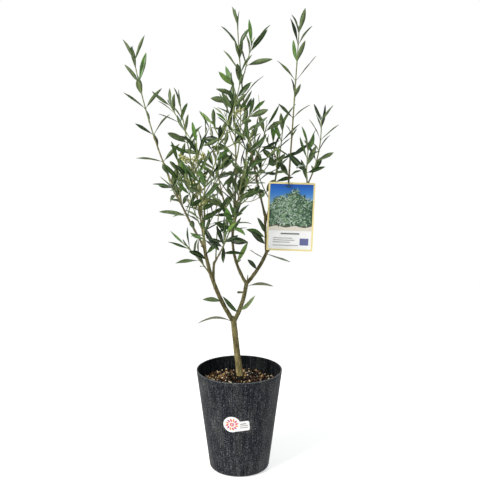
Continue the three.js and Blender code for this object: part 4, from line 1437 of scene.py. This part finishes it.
def make_label():
    """The card, with a print of dense olive leaves under a blue sky and plain bars below it"""
    card = Card()
    half, top, low, split = PRINT["half"], PRINT["top"], PRINT["low"], PRINT["split"]
    places = [(LABEL["hole_shift"] + side * LABEL["hole_spread"], WIRE_LEVEL) for side in (-1, 1)]
    holes = [[polar(PUNCHED, a, place) for a in ring(24)] for place in places]
    card.plate([rounded(LABEL["width"], LABEL["height"], LABEL["corner"]), *holes], FRONT, -FRONT, "card")
    card.plate([box(-half, split, half, top), *holes], FRONT - 0.03, FRONT, "sky")
    card.plate([rounded(2 * half, LABEL["height"] - 16, 1, 3, (0, -4.5))], -FRONT, -FRONT + 0.03, "panel")
    card.ink(box(-half, low, half, split), 0.03, "panel")
    card.hill(lambda x: skyline(x) - 3, 40, 0.05, "shade")
    card.hill(lambda x: -14 + 2 * math.sin(x * 0.11 + 4), 30, 0.08, "shadow")
    card.hill(lambda x: -17 + 1.5 * math.sin(x * 0.2), 30, 0.09, "ground")
    draw = np.random.default_rng(4)
    for i in range(PRINTED_LEAVES):
        x = draw.uniform(-half + 4, half - 4)
        z = mix(-13, skyline(x) - 1, draw.random() ** 0.9)
        size = draw.uniform(4, 7.5)
        ink = LEAF_INKS[draw.choice(4, p=SUNNY if x < 8 else SHADY)]
        card.ink(lance((x, z), draw.uniform(0, 2 * math.pi), size, size * 0.26, 5), 0.1 + 0.0001 * i, ink)
    for z, left, right, thick in BARS:
        card.ink(box(left, z, right, z + thick), 0.06, "line")
    card.ink(box(17, -49, 32, -37), 0.06, "block")
    return card.piece("label_card", list(LABEL_LOOKS.values()), smooth=False)


settle(make_label(), "label", "label")

# ---- the label's wire tie ----

TWIST = dict(wire=0.55, turns=2.5, spread=(0.55, 1.05))  # of the tie's two ends round each other


def make_tie():
    """A flat oval of wire through both holes and round the leader. Its twisted end stands up in front."""
    leader = crown["foliage_right_leader"]["twigs"][0]
    level = label_point(LABEL["hole_shift"], 0, WIRE_LEVEL)
    bend = leader.bend
    t = (level[2] - bend.start[2]) / (bend.tip[2] - bend.start[2])
    for _ in range(4):
        t += (level[2] - bend.point(t)[2]) / bend.length
    held = bend.point(t)
    back = held[1] + leader.radius_at(t) + GAP + TIE["wire"]
    front = level[1] - LABEL["thickness"] / 2 - TIE["bulge"]
    middle, reach = (back + front) / 2, (back - front) / 2
    half = LABEL["hole_spread"] / math.sqrt(1 - ((level[1] - middle) / reach) ** 2)
    loop = []
    for a in ring(72):
        x, z = turned(half * math.cos(a), 0, -math.radians(LABEL["lean"]))
        loop.append((held[0] + x, middle + reach * math.sin(a), level[2] + z))
    heap = Heap()
    heap.add(*tube(loop, [TIE["wire"]] * len(loop), 10, closed=True))
    for strand in (0, math.pi):
        path = []
        for share in np.linspace(0, 1, 40):
            x, y = polar(mix(*TWIST["spread"], share**3), strand + share * TWIST["turns"] * 2 * math.pi)
            z = level[2] - 0.4 + TIE["tail"] * share * 0.96
            path.append((held[0] + x, front + y * 0.8, z))
        heap.add(*tube(path, [TWIST["wire"]] * len(path), 8))
    look = Look("green_coated_wire", "2f5230", 0.45)
    look.bump(look.noise(1200, detail=2), 0.2, 0.0002)
    return heap.piece("tie_wire", [look.material])


settle(make_tie(), "tie", "label_tie")

# ---- the pot's sticker ----

INK = (STICKER["thickness"] - 0.05, STICKER["thickness"] + 0.04)  # how far print stands off the wall
# Rings of petals: radius, count, and each petal's length and width
PETAL_RINGS = [(5.2, 12, 7, 3.2), (0.8, 7, 4.2, 2.2)]
# Grey bars on the tab: foot, left end, right end and height
TAB_BARS = [(3.4, -1.5, 9, 1.6), (0.2, -2, 11.5, 1.2), (-3.4, -2, 11.5, 1.2)]


def on_wall(x, z, proud):
    """A place over the pot's front, at x and height z, that far proud of its wall"""
    radius = pot_radius(z) + proud
    return (x, -math.sqrt(radius**2 - x**2), z)


def inside_outline(x, z, outline):
    inside = False
    for (x0, z0), (x1, z1) in zip(outline, outline[1:] + outline[:1]):
        if (z0 > z) != (z1 > z) and x < (x1 - x0) * (z - z0) / (z1 - z0) + x0:
            inside = not inside
    return inside


def wrapped(outline, low, high, spacing):
    """A closed patch with a flat outline in x and z, bent round the wall"""
    xs, zs = zip(*outline)
    grid = [
        (x, z) for x in np.arange(min(xs), max(xs), spacing) for z in np.arange(min(zs), max(zs), spacing)
        if inside_outline(x, z, outline)
    ]
    places = [Vector(p) for p in outline + grid]
    edge = list(range(len(outline)))
    flat, _, faces, _, _, _ = geometry.delaunay_2d_cdt(places, [], [edge], 1, 1e-5)
    count = len(flat)
    sides = {pair for face in faces for pair in zip(face, face[1:] + face[:1])}
    top = [on_wall(p.x, p.y, high) for p in flat]
    bottom = [on_wall(p.x, p.y, low) for p in flat]
    patch = [tuple(face) for face in faces]
    patch += [tuple(count + i for i in reversed(face)) for face in faces]
    patch += [(b, a, count + a, count + b) for a, b in sorted(sides) if (b, a) not in sides]
    return top + bottom, patch


def on_tab(x, z):
    """A place on the sticker's leaning tab, from its middle"""
    x, z = turned(x, z, math.radians(STICKER["lean"]))
    return STICKER["tab"][0] + x, STICKER["tab"][1] + z


def meeting_angle(z):
    """The angle on the disc where a long edge of the tab, at z from its middle, meets it"""
    half = STICKER["tab_size"][0] / 2
    for x in np.linspace(-half, half, 400)[::-1]:
        place = on_tab(x, z)
        if math.dist(place, STICKER["disc"]) <= STICKER["disc_radius"]:
            return math.atan2(place[1] - STICKER["disc"][1], place[0] - STICKER["disc"][0])


def sticker_outline():
    """The disc and its tab as one outline"""
    width, height = STICKER["tab_size"]
    tab = [on_tab(x, z) for x, z in rounded(width, height, STICKER["corner"])]
    tab = [p for p in tab if math.dist(p, STICKER["disc"]) > STICKER["disc_radius"]]
    tab.sort(key=lambda p: math.atan2(p[1] - STICKER["tab"][1], p[0] - STICKER["tab"][0]))
    upper, lower = meeting_angle(height / 2), meeting_angle(-height / 2)
    arc = np.linspace(upper, lower + 2 * math.pi, 56)
    return tab + [polar(STICKER["disc_radius"], a, STICKER["disc"]) for a in arc]


def make_sticker():
    heap = Heap()
    heap.add(*wrapped(sticker_outline(), 0.03, STICKER["thickness"], 1.2), STICKER_WHITE)
    for number, (radius, count, length, width) in enumerate(PETAL_RINGS):
        for i in range(count):
            a = i / count * 2 * math.pi + number * 0.4
            petal = lance(polar(radius, a, STICKER["disc"]), a + 0.5, length, width)
            heap.add(*wrapped(petal, *INK, 5), PETALS[(i + number) % 3])
    for z, left, right, thick in TAB_BARS:
        along = np.linspace(left, right, 9)
        corners = [(x, z) for x in along] + [(x, z + thick) for x in along[::-1]]
        heap.add(*wrapped([on_tab(*corner) for corner in corners], *INK, 3), STICKER_GREY)
    return heap.piece("sticker_patch", STICKER_LOOKS, smooth=False)


settle(make_sticker(), "sticker", "sticker")

# ---- floor, light and camera ----

FLOOR = dict(reach=1400, sides=96, glow=0.56, fade=(0.25, 1.2))
CAMERA = dict(place=(0.0012, -1.463, 0.689), down=10.82, sensor=36, focal_pixels=875, frame_pixels=480)


def make_stage():
    """A pale round floor that fades into the white of the studio"""
    points = [(*polar(FLOOR["reach"], a), 0) for a in ring(FLOOR["sides"])]
    look = Look("pale_floor", "f6f6f4", 0.9, 0.1)
    look.bump(look.noise(40, detail=3), 0.05, 0.0005)
    look.shader.inputs["Emission Color"].default_value = (1, 1, 1, 1)
    look.shader.inputs["Emission Strength"].default_value = FLOOR["glow"]
    away = look.add("ShaderNodeVectorMath", {0: look.place()}, operation="LENGTH").outputs["Value"]
    near, far = FLOOR["fade"]
    fade = look.spread(away, "SMOOTHSTEP", From_Min=near, From_Max=far)
    clear = look.add("ShaderNodeBsdfTransparent").outputs["BSDF"]
    mixed = look.add("ShaderNodeMixShader", {0: fade, 1: look.shader.outputs["BSDF"], 2: clear})
    look.links.new(mixed.outputs["Shader"], look.nodes["Material Output"].inputs["Surface"])
    mesh_piece("studio_floor", points, [tuple(range(FLOOR["sides"]))], [look.material])


def make_world():
    """Soft white light all round, on a white ground"""
    world = bpy.data.worlds.new("studio")
    world.use_nodes = True
    nodes, links = world.node_tree.nodes, world.node_tree.links
    soft = nodes["Background"]
    soft.inputs["Color"].default_value = (0.95, 0.98, 1.0, 1.0)
    soft.inputs["Strength"].default_value = 0.3
    white = nodes.new("ShaderNodeBackground")
    white.inputs["Color"].default_value = (1, 1, 1, 1)
    seen = nodes.new("ShaderNodeLightPath")
    chosen = nodes.new("ShaderNodeMixShader")
    links.new(seen.outputs["Is Camera Ray"], chosen.inputs[0])
    links.new(soft.outputs["Background"], chosen.inputs[1])
    links.new(white.outputs["Background"], chosen.inputs[2])
    links.new(chosen.outputs["Shader"], nodes["World Output"].inputs["Surface"])
    bpy.context.scene.world = world


def area_light(name, place, target, size, power, colour):
    data = bpy.data.lights.new(name, "AREA")
    data.shape, data.size, data.energy, data.color = "DISK", size, power, colour
    light = linked(bpy.data.objects.new(name, data))
    light.location = place
    light.rotation_euler = (Vector(target) - Vector(place)).to_track_quat("-Z", "Y").to_euler()


def make_camera():
    data = bpy.data.cameras.new("camera")
    data.sensor_fit, data.sensor_width = "HORIZONTAL", CAMERA["sensor"]
    data.lens = CAMERA["sensor"] * CAMERA["focal_pixels"] / CAMERA["frame_pixels"]
    data.clip_start, data.clip_end = 0.05, 50
    camera = linked(bpy.data.objects.new("camera", data))
    camera.location = CAMERA["place"]
    camera.rotation_euler = (math.radians(90 - CAMERA["down"]), 0, 0)
    bpy.context.scene.camera = camera


make_stage()
make_world()
area_light("key", (-1.5, -1.4, 1.9), (0, 0, 0.4), 1.1, 63, (1.0, 0.98, 0.94))
area_light("fill", (1.6, -1.4, 0.9), (0, 0, 0.35), 1.2, 5, (0.85, 0.92, 1.0))
area_light("back", (0.6, 1.8, 1.9), (0, 0, 0.5), 1.2, 16, (1.0, 1.0, 1.0))
bpy.context.scene.view_settings.view_transform = "Standard"
make_camera()
